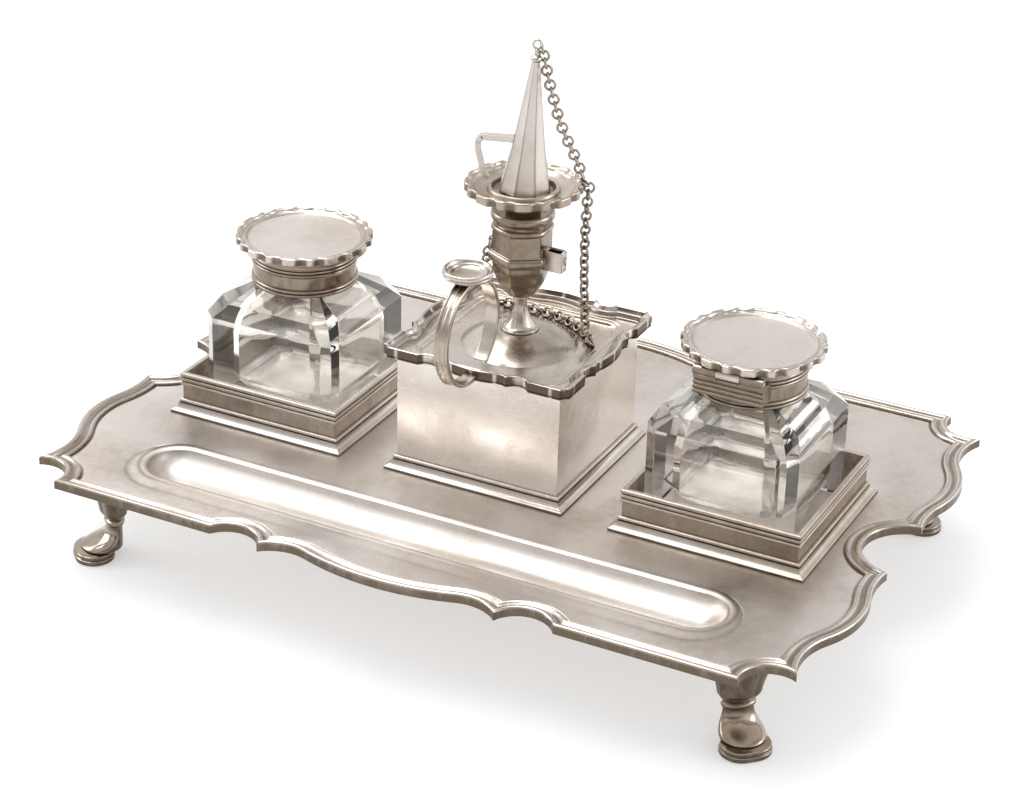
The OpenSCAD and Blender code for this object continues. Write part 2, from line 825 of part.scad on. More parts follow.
module chamberstick_pan() {
  half = box_w / 2 - box_t - loose_gap;
  corner = 6;
  color(silver)
    on_field() {
      difference() {
        union() {
          translate([0, 0, box_h])
            linear_extrude(height = pan_t)
              square(2 * pan_edge - 1, center = true);
          translate([0, 0, well_z - pan_t])
            linear_extrude(height = pan_sink + pan_t / 2)
              rounded_square(pan_well + pan_t, corner + pan_t);
        }
        translate([0, 0, well_z])
          linear_extrude(height = 2 * pan_sink)
            rounded_square(pan_well, corner);
        translate([0, 0, well_z - 2 * pan_t])
          cylinder(r = dome_r - 1, h = 3 * pan_t);
      }
      pan_dome();
      translate([0, 0, box_h - locate_h])
        four_walls(2 * half, pan_t, locate_h);
    }
}

// Section of the pan's border: distance in from the edge, and height above the flange
pan_border_section = [
  [1.6, 0], [1.3, 0.3], [0.4, pan_rim_h - 1.2], [0, pan_rim_h - 0.8], [0.1, pan_rim_h - 0.2],
  [0.7, pan_rim_h], [1.5, pan_rim_h - 0.5], [2, 0.45 * pan_rim_h], [3, 0.4 * pan_rim_h], [3.8, 0],
];

module chamberstick_pan_border() {
  color(bright_silver)
    on_field()
      translate([0, 0, pan_z])
        moulding([for (p = pan_border_section) pan_outline(p[0])], [for (p = pan_border_section) p[1]]);
}

module candle_stem() {
  h = stem_h;
  f = stem_foot_r;
  n = stem_neck_r;
  k = stem_knop_r;
  color(silver)
    on_field()
      translate([0, 0, stem_z])
        rotate_extrude()
          polygon([
            [0, 0], [f, 0], [f, 0.03 * h], [0.95 * f, 0.07 * h], [0.8 * f, 0.1 * h],
            [0.65 * f, 0.2 * h], [0.51 * f, 0.36 * h], [0.4 * f, 0.52 * h], [n, 0.68 * h], [n, 0.8 * h],
            [n + 0.3, 0.88 * h], [k, 0.91 * h], [k, 0.96 * h], [k + 0.4, h], [0, h],
          ]);
}

// Six-sided frustum with a flat face toward +X
module six_sided(r1, r2, h) {
  rotate(30)
    cylinder(r1 = r1, r2 = r2, h = h, $fn = 6);
}

socket_bore = spigot_r + fit_gap;

module candle_socket() {
  r = socket_r;
  color(silver)
    on_field()
      difference() {
        union() {
          translate([0, 0, bowl_z])
            six_sided(5, 7.4, 0.2 * bowl_h + eps);
          translate([0, 0, bowl_z + 0.2 * bowl_h])
            six_sided(7.4, r - 1, 0.45 * bowl_h + eps);
          translate([0, 0, bowl_z + 0.65 * bowl_h])
            six_sided(r - 1, r - 0.3, 0.35 * bowl_h + eps);
          translate([0, 0, drum_z])
            six_sided(band_r, band_r, band_h);
          translate([0, 0, drum_z + eps])
            six_sided(r, r, drum_h - 2 * eps);
          translate([0, 0, drum_z + drum_h - 1.8])
            six_sided(r + 0.7, r + 0.7, 1.8);
          translate([0, 0, cup_z - eps])
            rotate_extrude()
              polygon([[0, 0], [r - 0.6, 0], [r + 0.6, 0.4 * cup_h], [r + 1.4, 0.75 * cup_h],
                [r + 1.4, cup_h], [r + 0.8, cup_h], [socket_bore + 1.2, 0.45 * cup_h], [0, 0.45 * cup_h]]);
        }
        translate([0, 0, socket_top - spigot_h - 1])
          cylinder(r = socket_bore, h = spigot_h + 2);
      }
}

// Upright box loop for the snuffer's hook, on the socket's face toward +X
socket_flat = socket_r * cos(30);
bracket_out = 7.4;
bracket_w = 6;
bracket_t = 1.2;
bracket_z = drum_z - 2;
band_h = 1.4;
band_r = socket_r + 0.5;

module snuffer_bracket() {
  color(silver)
    on_field()
      translate([socket_flat, 0, bracket_z])
        difference() {
          translate([0, -bracket_w / 2, 0])
            cube([bracket_out, bracket_w, bracket_h]);
          translate([bracket_t, bracket_t - bracket_w / 2, -1])
            cube([bracket_out - 2 * bracket_t, bracket_w - 2 * bracket_t, bracket_h + 2]);
          translate([-socket_flat, 0, drum_z - bracket_z])
            six_sided(band_r, band_r, band_h);
        }
}

eye_r = 1.5;
eye_wire = 0.4;
eye_x = socket_flat + eye_r + 0.5;
eye_z = drum_z + 0.3 * drum_h;

module chain_eye() {
  color(bright_silver)
    on_field() {
      translate([-eye_x, 0, eye_z])
        rotate([90, 0, 0])
          rotate_extrude()
            translate([eye_r, 0])
              circle(eye_wire, $fn = 24);
      translate([-socket_flat - 0.8, 0, eye_z])
        rotate([0, 90, 0])
          cylinder(r = 0.7, h = 0.8, $fn = 24);
    }
}

// The handle is cut to fit round the border at the front of the pan
handle_y = pan_half + 3.1;
handle_z = pan_z + handle_r + 0.3;

module ring_handle() {
  color(silver)
    on_field()
      difference() {
        translate([0, -handle_y, handle_z])
          rotate([0, 90, 0])
            difference() {
              union() {
                cylinder(r = handle_r, h = handle_w, center = true, $fn = 96);
                for (s = [-1, 1])
                  translate([0, 0, s * (handle_w / 2 - 0.4)])
                    rotate_extrude($fn = 96)
                      translate([handle_r - 0.2, 0])
                        circle(0.4, $fn = 24);
              }
              cylinder(r = handle_r - handle_t, h = handle_w + 2, center = true, $fn = 96);
            }
        translate([0, 0, box_h - 1])
          linear_extrude(height = pan_t + pan_rim_h + 1)
            polygon(pan_outline(0));
      }
}

thumb_h = 4.2;

module thumb_plate() {
  r = thumb_r;
  color(silver)
    on_field()
      translate([0, -handle_y, handle_z + handle_r + 0.2])
        rotate_extrude()
          polygon([
            [0, 0], [3, 0], [3.6, 0.5], [r - 1, 1.5], [r - 0.1, 2.3], [r, thumb_h - 0.6],
            [r - 0.5, thumb_h], [r - 1.1, thumb_h - 0.5], [r - 1.8, 2.9], [4, 2.3], [0, 2.1],
          ]);
}

// Nozzle and snuffer

module candle_nozzle() {
  r = drip_r;
  z = ring_z - socket_top;
  color(silver)
    on_field()
      translate([0, 0, socket_top])
        difference() {
          rotate_extrude()
            polygon([
              [taper_r, -spigot_h], [spigot_r, -spigot_h], [spigot_r, z - 5.4], [7, z - 3.6],
              [12, z - 3], [r - 2.4, z - 1.6], [r - 0.4, z - 1.2], [r, z - 0.8], [r, z + 1.6], [r - 0.7, z + 1.9],
              [r - 1.6, z + 1], [r - 4, z - 0.6], [12.9, z - 1.6], [12.3, z], [11.4, z + 0.3],
              [10.9, z - 0.4], [10.6, z - 1.9], [6.4, z - 2.2], [6.2, z - 1.2], [taper_r, z - 1.2],
            ]);
          translate([0, 0, z - 4])
            rotate(snuffer_turn)
              scallop_cuts(drip_scallops, r, 8, 0);
        }
}

// Puts its children at the snuffer's mouth, leaning as it stands in the drip pan
snuffer_lift = 0.1;
snuffer_off = 0.4;
snuffer_z = ring_z - 1.9 + snuffer_lift + snuffer_r * sin(snuffer_lean);

module at_snuffer() {
  on_field()
    rotate(snuffer_turn)
      translate([snuffer_off, 0, snuffer_z])
        rotate([0, snuffer_lean, 0])
          children();
}

snuffer_sides = 8;
snuffer_wall = 0.7;

// Eight-sided cone in stages, each as [share of the height, corner radius]
snuffer_stages = [[0, snuffer_r], [0.2, 0.79 * snuffer_r], [0.5, 0.525 * snuffer_r], [1, 0.16 * snuffer_r]];

module snuffer_cone() {
  h = snuffer_h;
  color(silver)
    at_snuffer()
      difference() {
        for (i = [0:len(snuffer_stages) - 2])
          let (a = snuffer_stages[i], b = snuffer_stages[i + 1])
            translate([0, 0, a[0] * h])
              rotate(22.5)
                cylinder(r1 = a[1], r2 = b[1], h = (b[0] - a[0]) * h, $fn = snuffer_sides);
        translate([0, 0, -1])
          rotate_extrude()
            polygon([[0, 0], [0.85 * snuffer_r, 0], [0.85 * snuffer_r, 1],
              [0.62 * snuffer_r, 0.2 * h], [0.3 * snuffer_r, 0.55 * h], [0, 0.62 * h]]);
      }
}

hook_z = 18.1;
hook_reach = 16.6;
hook_t = 1;
hook_bend = 2.4;

// Distance of a flat of the cone from its axis, in the stage that the hook leaves
function cone_flat(z) =
  let (a = snuffer_stages[1], b = snuffer_stages[2], t = (z / snuffer_h - a[0]) / (b[0] - a[0]))
  (a[1] + (b[1] - a[1]) * t) * cos(180 / snuffer_sides);

// Strip that leaves the cone level, turns down and ends in a small inward curl
module snuffer_hook() {
  x0 = cone_flat(hook_z) + 0.02;
  drop = 8.6;
  color(silver)
    at_snuffer()
      rotate([90, 0, 0])
        linear_extrude(height = hook_w, center = true) {
          translate([-hook_reach + hook_bend, hook_z])
            square([hook_reach - hook_bend - x0, hook_t]);
          translate([-hook_reach, hook_z + hook_t - hook_bend - drop])
            square([hook_t, drop]);
          translate([-hook_reach + hook_bend, hook_z + hook_t - hook_bend])
            intersection() {
              difference() {
                circle(hook_bend);
                circle(hook_bend - hook_t);
              }
              translate([-hook_bend, 0])
                square(hook_bend);
            }
          translate([-hook_reach + hook_bend, hook_z + hook_t - hook_bend - drop])
            intersection() {
              difference() {
                circle(hook_bend);
                circle(hook_bend - hook_t);
              }
              translate([-hook_bend, -hook_bend])
                square([1.7 * hook_bend, hook_bend]);
            }
        }
}

finial_ring_r = 1.5;
finial_neck = 4.6;

module snuffer_finial() {
  color(silver)
    at_snuffer()
      translate([0, 0, snuffer_h]) {
        rotate_extrude()
          polygon([
            [0, 0], [1.6, 0], [2, 0.6], [2.1, 1.2], [1.7, 1.9], [1.1, 2.4],
            [0.9, 3.4], [1.1, finial_neck - 0.5], [0.9, finial_neck], [0, finial_neck],
          ]);
        translate([0, 0, finial_neck + finial_ring_r])
          rotate([90, 0, 0])
            rotate_extrude()
              translate([finial_ring_r, 0])
                circle(0.42, $fn = 24);
      }
}

// Chain: round links threaded one through the next along a route

link_pitch = 2 * (link_r - wire_r) - 0.12;
link_edge = link_r + wire_r;

// Point at distance s along a route
function along(r, s, i = 0) =
  let (d = norm(r[i + 1] - r[i]))
  (s <= d || i == len(r) - 2) ? r[i] + (r[i + 1] - r[i]) * s / d : along(r, s - d, i + 1);

// Length of a route
function length_of(r, i = 0) = i == len(r) - 1 ? 0 : norm(r[i + 1] - r[i]) + length_of(r, i + 1);

// Rounds a route's corners off by moving to the quarter points of its runs
function smoothed(r) = concat(
  [r[0]],
  [for (i = [0:len(r) - 2]) for (t = [0.25, 0.75]) r[i] + (r[i + 1] - r[i]) * t],
  [r[len(r) - 1]]
);

module link() {
  rotate([90, 0, 0])
    rotate_extrude()
      translate([link_r, 0])
        circle(wire_r, $fn = 16);
}

// Links along a route, each turned a quarter from the last; their turn about the route goes from roll0 to roll1
module chain(route, roll0, roll1) {
  r = smoothed(smoothed(route));
  n = floor(length_of(r) / link_pitch);
  for (i = [0:n])
    let (s = i * link_pitch, q = along(r, s + 0.6) - along(r, max(0, s - 0.6)))
      translate(along(r, s))
        rotate([0, acos(q[2] / norm(q)), atan2(q[1], q[0])])
          rotate(roll0 + (roll1 - roll0) * min(1, i / 12) + 90 * (i % 2))
            link();
}

// Place at a distance from the middle in the direction of the snuffer's lean
function leaning(d, z) = [d * cos(snuffer_turn), d * sin(snuffer_turn), z];

// The hanging chain is hooked over the edge of the drip pan and hangs just outside it
hang = drip_r + link_edge + 0.6;
over = wire_r + 0.03;
ring_up = snuffer_h + finial_neck + finial_ring_r;
ring_out = snuffer_off + ring_up * sin(snuffer_lean);
ring_at = snuffer_z + ring_up * cos(snuffer_lean);
lie_z = well_z + 0.71 * link_r + wire_r + 0.03;

upper_route = [
  leaning(ring_out + 2, ring_at - 0.9),
  leaning(ring_out + 4.2, ring_at - 1.9),
  leaning(ring_out + 5, ring_at - 5),
  leaning(ring_out + 8.6, ring_at - 22),
  leaning(drip_r - 3.4, ring_z + 11),
  leaning(drip_r - 1.4, ring_z + 5.6),
];

hanging_route = [
  leaning(drip_r + 0.6 * over, ring_z + 1.6 + 0.8 * over),
  leaning(hang, ring_z - 0.2),
  leaning(hang + 0.6, ring_z - 5),
  leaning(hang + 0.2, ring_z - 20),
  leaning(hang - 0.3, ring_z - 40),
  leaning(hang, lie_z + 2 * link_edge + 0.4),
];

// From the eye on the socket down to the pan, and round behind the stem
lying_route = [
  [-eye_x - 1.1, 0, eye_z - 1.9],
  [-eye_x - 2.4, -0.6, eye_z - 8],
  [-14.6, 3, 61],
  [-17, 11, 50],
  [-20.6, 19, lie_z + 0.6],
  [-21.4, 23.4, lie_z],
  [-16, 24.8, lie_z],
  [-7, 24.4, lie_z],
  [5, 23.2, lie_z],
  [15.6, 17.8, lie_z],
  [21.4, 12.6, lie_z],
  [24.2, 8.4, lie_z],
];

module chain_upper() {
  color(bright_silver)
    on_field()
      chain(upper_route, 90, 90);
}

module chain_hanging() {
  color(bright_silver)
    on_field()
      chain(hanging_route, 90, 45);
}

module chain_lying() {
  color(bright_silver)
    on_field()
      chain(lying_route, 90, 45);
}

tray_plate();
tray_border();
front_left_foot();
front_right_foot();
back_left_foot();
back_right_foot();
left_gallery_wall();
right_gallery_wall();
left_gallery_rim();
right_gallery_rim();
left_gallery_base();
right_gallery_base();
stamp_box_wall();
stamp_box_base();
inkwell_glass(-1);  // left_inkwell_glass
inkwell_glass(1);  // right_inkwell_glass
collar(-1);  // left_collar
collar(1);  // right_collar
hinge_pin(-1);  // left_hinge_pin
hinge_pin(1);  // right_hinge_pin
lid(-1);  // left_lid
lid(1);  // right_lid
lid_border(-1);  // left_lid_border
lid_border(1);  // right_lid_border
chamberstick_pan();
chamberstick_pan_border();
candle_stem();
candle_socket();
snuffer_bracket();
chain_eye();
ring_handle();
thumb_plate();
candle_nozzle();
snuffer_cone();
snuffer_hook();
snuffer_finial();
chain_upper();
chain_hanging();
chain_lying();
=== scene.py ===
"""Looks of a silver desk inkstand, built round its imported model. All sizes are in millimetres until a piece is made."""
import logging
import math
from dataclasses import dataclass, field
from enum import Enum
from typing import Any, Callable, Optional, Sequence

import bmesh
import bpy
import numpy as np
from mathutils import Matrix, Vector


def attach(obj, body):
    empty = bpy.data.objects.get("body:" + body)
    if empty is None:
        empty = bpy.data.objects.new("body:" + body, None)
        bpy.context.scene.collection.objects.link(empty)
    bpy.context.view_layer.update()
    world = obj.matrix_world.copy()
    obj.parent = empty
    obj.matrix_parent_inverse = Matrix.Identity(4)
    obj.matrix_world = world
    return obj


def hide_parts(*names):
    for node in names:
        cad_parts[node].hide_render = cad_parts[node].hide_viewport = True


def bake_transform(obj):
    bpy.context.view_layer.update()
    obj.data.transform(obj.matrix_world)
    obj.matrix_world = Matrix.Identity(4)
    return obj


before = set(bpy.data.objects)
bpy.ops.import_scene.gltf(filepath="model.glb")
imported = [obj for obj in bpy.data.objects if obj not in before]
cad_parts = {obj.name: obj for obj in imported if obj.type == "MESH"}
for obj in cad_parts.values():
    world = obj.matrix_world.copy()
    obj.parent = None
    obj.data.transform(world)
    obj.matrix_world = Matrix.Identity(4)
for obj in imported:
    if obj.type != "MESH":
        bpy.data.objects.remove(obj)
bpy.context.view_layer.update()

LOG = logging.getLogger("inkstand")
MM = 0.001
FIELD = 37.6
SNUFFER_TURN = 26.5
# The point attribute that holds each piece's grime and painted shade.
PAINT = "grime"
Array = np.ndarray
Triple = tuple[float, float, float]


# Drawing in the flat


def arc(centre: Sequence[float], radius: float, start: float, end: float, count: int) -> Array:
    """Points along an arc.

    Args:
        centre: The arc's centre.
        radius: Its radius.
        start: The angle of the first point, in degrees.
        end: The angle of the last point.
        count: The number of spans.

    Returns:
        count + 1 points.
    """
    a = np.radians(np.linspace(start, end, count + 1))
    return np.column_stack([centre[0] + radius * np.cos(a), centre[1] + radius * np.sin(a)])


def curved(points: Sequence[Sequence[float]], spans: int = 4) -> Array:
    """A smooth line through points, in any number of dimensions.

    Args:
        points: The points that the line passes through.
        spans: The number of straight runs between two points.

    Returns:
        The line's points.
    """
    p = np.asarray(points, float)
    ext = np.vstack([2 * p[0] - p[1], p, 2 * p[-1] - p[-2]])
    out = []
    for i in range(len(p) - 1):
        a, b, c, d = ext[i : i + 4]
        square, cube = 2 * a - 5 * b + 4 * c - d, 3 * b - a - 3 * c + d
        for k in range(spans):
            t = k / spans
            out.append(0.5 * (2 * b + (c - a) * t + square * t**2 + cube * t**3))
    out.append(p[-1])
    return np.array(out)


def eased(points: Sequence[Sequence[float]], radius: float = 0.25, count: int = 3, closed: bool = False) -> Array:
    """A line of straight runs with its corners rounded off.

    Args:
        points: The line's corners.
        radius: The length taken off each run at a corner, at most.
        count: The number of spans in each rounded corner.
        closed: Whether the last corner joins the first.

    Returns:
        The rounded line's points.
    """
    p = np.asarray(points, float)
    n = len(p)
    out = []
    for i in range(n):
        if not closed and i in (0, n - 1):
            out.append(p[i])
            continue
        before, after = p[i - 1] - p[i], p[(i + 1) % n] - p[i]
        lb, la = np.linalg.norm(before), np.linalg.norm(after)
        cut = min(radius, 0.45 * lb, 0.45 * la)
        a, b = p[i] + before / lb * cut, p[i] + after / la * cut
        for k in range(count + 1):
            t = k / count
            out.append((1 - t) ** 2 * a + 2 * t * (1 - t) * p[i] + t**2 * b)
    return np.array(out)


def meet(c1: Array, r1: float, c2: Array, r2: float) -> Array:
    """The point where two circles meet.

    Args:
        c1: The first circle's centre.
        r1: Its radius.
        c2: The second circle's centre.
        r2: Its radius.

    Returns:
        The meeting point to the left of the way from the first centre to the second.
    """
    v = c2 - c1
    d = float(np.linalg.norm(v))
    u = v / d
    a = (r1 * r1 - r2 * r2 + d * d) / (2 * d)
    h = math.sqrt(max(0.0, r1 * r1 - a * a))
    return c1 + a * u + h * np.array([-u[1], u[0]])


def arc_between(centre: Array, start: Array, end: Array, count: int) -> Array:
    """Points of the short arc from start toward end, without end.

    Args:
        centre: The arc's centre.
        start: Its first point.
        end: The point that it runs to.
        count: The number of spans.

    Returns:
        count points.
    """
    r = float(np.linalg.norm(start - centre))
    a = math.degrees(math.atan2(start[1] - centre[1], start[0] - centre[0]))
    b = math.degrees(math.atan2(end[1] - centre[1], end[0] - centre[0]))
    turn = b - a - 360 * round((b - a) / 360)
    return arc(centre, r, a, a + turn, count)[:-1]


def half_chord(radius: float, off: float) -> float:
    """Half the chord of a circle at a distance off its centre."""
    return math.sqrt(max(0.0, radius * radius - off * off))


def share(values: Array) -> Array:
    """Values kept between 0 and 1."""
    return np.clip(values, 0, 1)


def angles(count: int) -> Array:
    """Evenly spaced angles round a full turn, in radians."""
    return 2 * math.pi * np.arange(count) / count


def circle(radii: Any, angle: Array, height: float) -> Array:
    """A ring about Z at a height, from its radius or radii and its angles."""
    return lifted(np.column_stack([radii * np.cos(angle), radii * np.sin(angle)]), height)


def stadium(run: float, radius: float, y: float) -> Array:
    """A ring of two straight runs joined by half turns.

    Args:
        run: Half the length of a run.
        radius: The radius of the half turns.
        y: The place of its middle line.

    Returns:
        The ring's points.
    """
    straight = np.linspace(1, -1, 26)[1:-1] * run
    top = np.column_stack([straight, np.full(len(straight), radius)])
    right, left = arc([run, 0], radius, -90, 90, 36), arc([-run, 0], radius, 90, 270, 36)
    return np.vstack([right, top, left, -top]) + [0, y]


def bowl(half: float, deep: float, places: Array) -> list[tuple[float, float]]:
    """The section of a round-bottomed trough.

    Args:
        half: Half the width of its mouth.
        deep: Its depth.
        places: Distances from its middle line.

    Returns:
        Each distance with its height.
    """
    radius = (half * half + deep * deep) / (2 * deep)
    return [(x, radius - deep - math.sqrt(radius * radius - x * x)) for x in places]


@dataclass(frozen=True)
class ShapedSide:
    """Half of a shaped side, from the hollow in the corner to the lobe in the middle.

    crest: distance of the middle lobe's crest. straight: distance of the straight run. notch and slack: the hollow in
    the side and the slack beside the lobe, each as place along the side, distance beyond the crest, radius.
    corner: centre of the corner's hollow, and its radius.
    """

    crest: float
    straight: float
    notch: Triple
    slack: Triple
    corner: Triple

    def start(self, inset: float) -> Array:
        """Where the side begins at the corner's hollow, drawn in by inset."""
        (x, y, r), line = self.corner, self.straight - inset
        return np.array([x - half_chord(r + inset, line - y), line])

    def points(self, inset: float, fine: int) -> Array:
        """The side's points, drawn in by inset.

        Args:
            inset: The distance drawn in.
            fine: The number of spans of a short arc.

        Returns:
            Points from the corner's hollow to the middle of the side.
        """
        line = self.straight - inset
        hollow, hollow_r = np.array([self.notch[0], self.crest + self.notch[1]]), self.notch[2] + inset
        x, out, r = self.slack
        slack = np.array([x, self.crest + out])
        big = (x * x + out * out - r * r) / (2 * (r - out))
        lobe = np.array([0.0, self.crest - big])
        first = self.start(inset)
        second = np.array([hollow[0] + half_chord(hollow_r, line - hollow[1]), line])
        cusp = meet(hollow, hollow_r, slack, r + inset)
        join = lobe + (big - inset) * (slack - lobe) / np.linalg.norm(slack - lobe)
        top = np.array([0.0, self.crest - inset])
        return np.vstack([
            [first + (second - first) * t for t in np.linspace(0, 1, fine + 1)[:-1]],
            arc_between(hollow, second, cusp, 2 * fine), arc_between(slack, cusp, join, fine),
            arc_between(lobe, join, top, 2 * fine), [top],
        ])


def four_quarters(quarter: Array) -> Array:
    """A whole outline from its quarter between the X and Y axes."""
    q, m = quarter, len(quarter) - 1
    return np.vstack([q[:m], q[m:0:-1] * [-1, 1], -q[:m], q[m:0:-1] * [1, -1]])


def square_ring(half: float, radius: float, fine: int, side: int) -> Array:
    """A square with rounded corners, its sides divided.

    Args:
        half: Half of its width.
        radius: The radius of its corners.
        fine: The number of spans in a corner.
        side: The number of spans in a side.

    Returns:
        The ring's points, from the middle of the +X side.
    """
    c = half - radius
    quarter = [[half, c * t] for t in np.linspace(0, 1, side + 1)[:-1]]
    quarter += list(arc([c, c], radius, 0, 90, fine))
    quarter += [[c * t, half] for t in np.linspace(1, 0, side + 1)[1:]]
    return four_quarters(np.array(quarter))


def polygon_ring(corner_r: float, sides: int, turn: float, radius: float, fine: int, side: int) -> Array:
    """A regular polygon with its corners eased.

    Args:
        corner_r: The distance of a corner from the middle.
        sides: The number of sides.
        turn: The direction of the first corner, in degrees.
        radius: The length taken off each side at a corner.
        fine: The number of spans in a corner.
        side: The number of spans in a side.

    Returns:
        The ring's points.
    """
    a = np.radians(turn + 360 * np.arange(sides) / sides)
    corners = eased(np.column_stack([corner_r * np.cos(a), corner_r * np.sin(a)]), radius, fine, closed=True)
    runs = corners.reshape(sides, fine + 1, 2)
    parts = []
    for i, run in enumerate(runs):
        after = runs[(i + 1) % sides][0]
        parts += [run] + [[run[-1] * (1 - t) + after * t] for t in np.linspace(0, 1, side + 1)[1:-1]]
    return np.vstack(parts)


def lifted(ring: Array, height: float) -> Array:
    """A flat ring put at a height."""
    return np.column_stack([ring, np.full(len(ring), height)])


@dataclass(frozen=True)
class Scallops:
    """A lobed round edge with a pair of hollows between its lobes.

    count: how many lobes. radius: the edge's. half: half a hollow's width. deep: how far a hollow goes in. reach and
    run: where the hollows begin to fade inward, and over what distance. turn: direction of the first lobe, in degrees.
    """

    count: int
    radius: float
    half: float
    deep: float
    reach: float
    run: float
    turn: float = 0.0

    def bites(self, angle: Array) -> Array:
        """How deep the hollows are.

        Args:
            angle: Directions from the middle, in radians.

        Returns:
            0 on a lobe to 1 in the middle of a hollow.
        """
        step = 2 * math.pi / self.count
        place = ((angle - math.radians(self.turn)) / step + 0.5) % 1 - 0.5
        off = (np.abs(place) - 0.5 + 0.21) * step * self.radius
        return np.clip(1 - (off / self.half) ** 2, 0, None)

    def edge(self, radii: Array, angle: Array) -> Array:
        """The radii of a ring, drawn in at the hollows near the edge."""
        return radii - self.deep * self.bites(angle) * share((radii - (self.radius - self.reach)) / self.run)

    def grime(self, x: Array, y: Array, under: Array, inset: float, strength: float) -> Array:
        """The painted shade in the hollows.

        Args:
            x: Places across.
            y: Places along.
            under: How far each place lies under the height at which the painted shade ends.
            inset: How far in from the edge the painted shade reaches.
            strength: How soon a hollow is full of it.

        Returns:
            The painted shade, from 0 to 1.
        """
        face = share((np.hypot(x, y) - (self.radius - inset)) / 0.6) * share(under / 0.4)
        return share(strength * self.bites(np.arctan2(y, x))) * face


# Shader maths


class Value:
    """One socket of a material, on which Python's operators add Math nodes."""

    def __init__(self, graph: "Graph", socket: bpy.types.NodeSocket) -> None:
        """Keeps the graph and the socket."""
        self.graph = graph
        self.socket = socket

    def _maths(self, operation: str, *operands: Any, clamp: bool = False) -> "Value":
        """A Math node on the operands, in order."""
        values = {i: v for i, v in enumerate(operands)}
        return self.graph.node("ShaderNodeMath", {"operation": operation, "use_clamp": clamp}, values).out()

    def __add__(self, other: Any) -> "Value":
        """self + other."""
        return self._maths("ADD", self, other)

    def __radd__(self, other: Any) -> "Value":
        """other + self."""
        return self._maths("ADD", other, self)

    def __sub__(self, other: Any) -> "Value":
        """self - other."""
        return self._maths("SUBTRACT", self, other)

    def __rsub__(self, other: Any) -> "Value":
        """other - self."""
        return self._maths("SUBTRACT", other, self)

    def __mul__(self, other: Any) -> "Value":
        """self * other."""
        return self._maths("MULTIPLY", self, other)

    def __rmul__(self, other: Any) -> "Value":
        """other * self."""
        return self._maths("MULTIPLY", other, self)

    def __truediv__(self, other: Any) -> "Value":
        """self / other."""
        return self._maths("DIVIDE", self, other)

    def __pow__(self, other: Any) -> "Value":
        """self ** other."""
        return self._maths("POWER", self, other)

    def limited(self) -> "Value":
        """The value kept between 0 and 1."""
        return self._maths("ADD", self, 0.0, clamp=True)

    def rising(self, low: float, high: float) -> "Value":
        """0 below low, 1 above high, and smooth between them."""
        values = {"Value": self, "From Min": low, "From Max": high}
        return self.graph.node("ShaderNodeMapRange", {"interpolation_type": "SMOOTHSTEP"}, values).out()


@dataclass
class Made:
    """One node that has been added to a graph."""

    graph: "Graph"
    node: bpy.types.Node

    def out(self, name: Any = 0) -> Value:
        """One of its outputs, by name or number."""
        return Value(self.graph, self.node.outputs[name])


class Graph:
    """The nodes of one material or world."""

    def __init__(self, owner: Any) -> None:
        """Starts a graph in a material or world with no nodes but its output.

        Args:
            owner: The material or world.
        """
        owner.use_nodes = True
        self.tree = owner.node_tree
        self.tree.nodes.clear()
        kind = "ShaderNodeOutputWorld" if isinstance(owner, bpy.types.World) else "ShaderNodeOutputMaterial"
        self.output = self.tree.nodes.new(kind)

    def node(self, kind: str, settings: Optional[dict] = None, values: Optional[dict] = None) -> Made:
        """Adds one node.

        Args:
            kind: Blender's name for the node's type.
            settings: Its own settings, set first; stops holds a ramp's places and colours.
            values: The values or links of its sockets, by name or number.

        Returns:
            The node.
        """
        made = self.tree.nodes.new(kind)
        for key, setting in (settings or {}).items():
            if key == "stops":
                ramp = made.color_ramp.elements
                while len(ramp) < len(setting):
                    ramp.new(0.5)
                for element, (place, colour) in zip(ramp, setting):
                    element.position = place
                    element.color = (*colour, 1.0)
            else:
                setattr(made, key, setting)
        for key, value in (values or {}).items():
            socket = made.inputs[key]
            if isinstance(value, Made):
                value = value.out()
            if isinstance(value, Value):
                self.tree.links.new(value.socket, socket)
            elif isinstance(value, tuple) and len(value) == 3 and socket.type == "RGBA":
                socket.default_value = (*value, 1.0)
            else:
                socket.default_value = value
        return Made(self, made)

    def blend(self, factor: Any, first: Any, second: Any) -> Value:
        """A colour between two colours.

        Args:
            factor: 0 for the first, 1 for the second.
            first: A colour or a link.
            second: A colour or a link.

        Returns:
            The mixed colour.
        """
        mix = self.node("ShaderNodeMix", {"data_type": "RGBA"}, {0: factor, 6: first, 7: second})
        return mix.out(2)

    def place(self, stretch: Triple = (1, 1, 1), turn: Triple = (0, 0, 0)) -> Value:
        """The point's place on its piece, stretched and turned.

        Args:
            stretch: The scale along each axis.
            turn: The turn about each axis, in radians.

        Returns:
            The place.
        """
        where = self.node("ShaderNodeTexCoord").out("Object")
        return self.node("ShaderNodeMapping", {}, {"Vector": where, "Scale": stretch, "Rotation": turn}).out()

    def noise(self, where: Value, scale: float, detail: float = 3, roughness: float = 0.5, warp: float = 0) -> Value:
        """A cloudy pattern.

        Args:
            where: The place.
            scale: The number of clouds to a metre.
            detail: The number of finer layers.
            roughness: Their strength.
            warp: How far they are drawn out of shape.

        Returns:
            The pattern, from 0 to 1.
        """
        values = {"Vector": where, "Scale": scale, "Detail": detail, "Roughness": roughness, "Distortion": warp}
        return self.node("ShaderNodeTexNoise", {}, values).out(0)

    def finish(self, shader: Made) -> None:
        """Links the last shader to the output."""
        self.tree.links.new(shader.node.outputs[0], self.output.inputs[0])


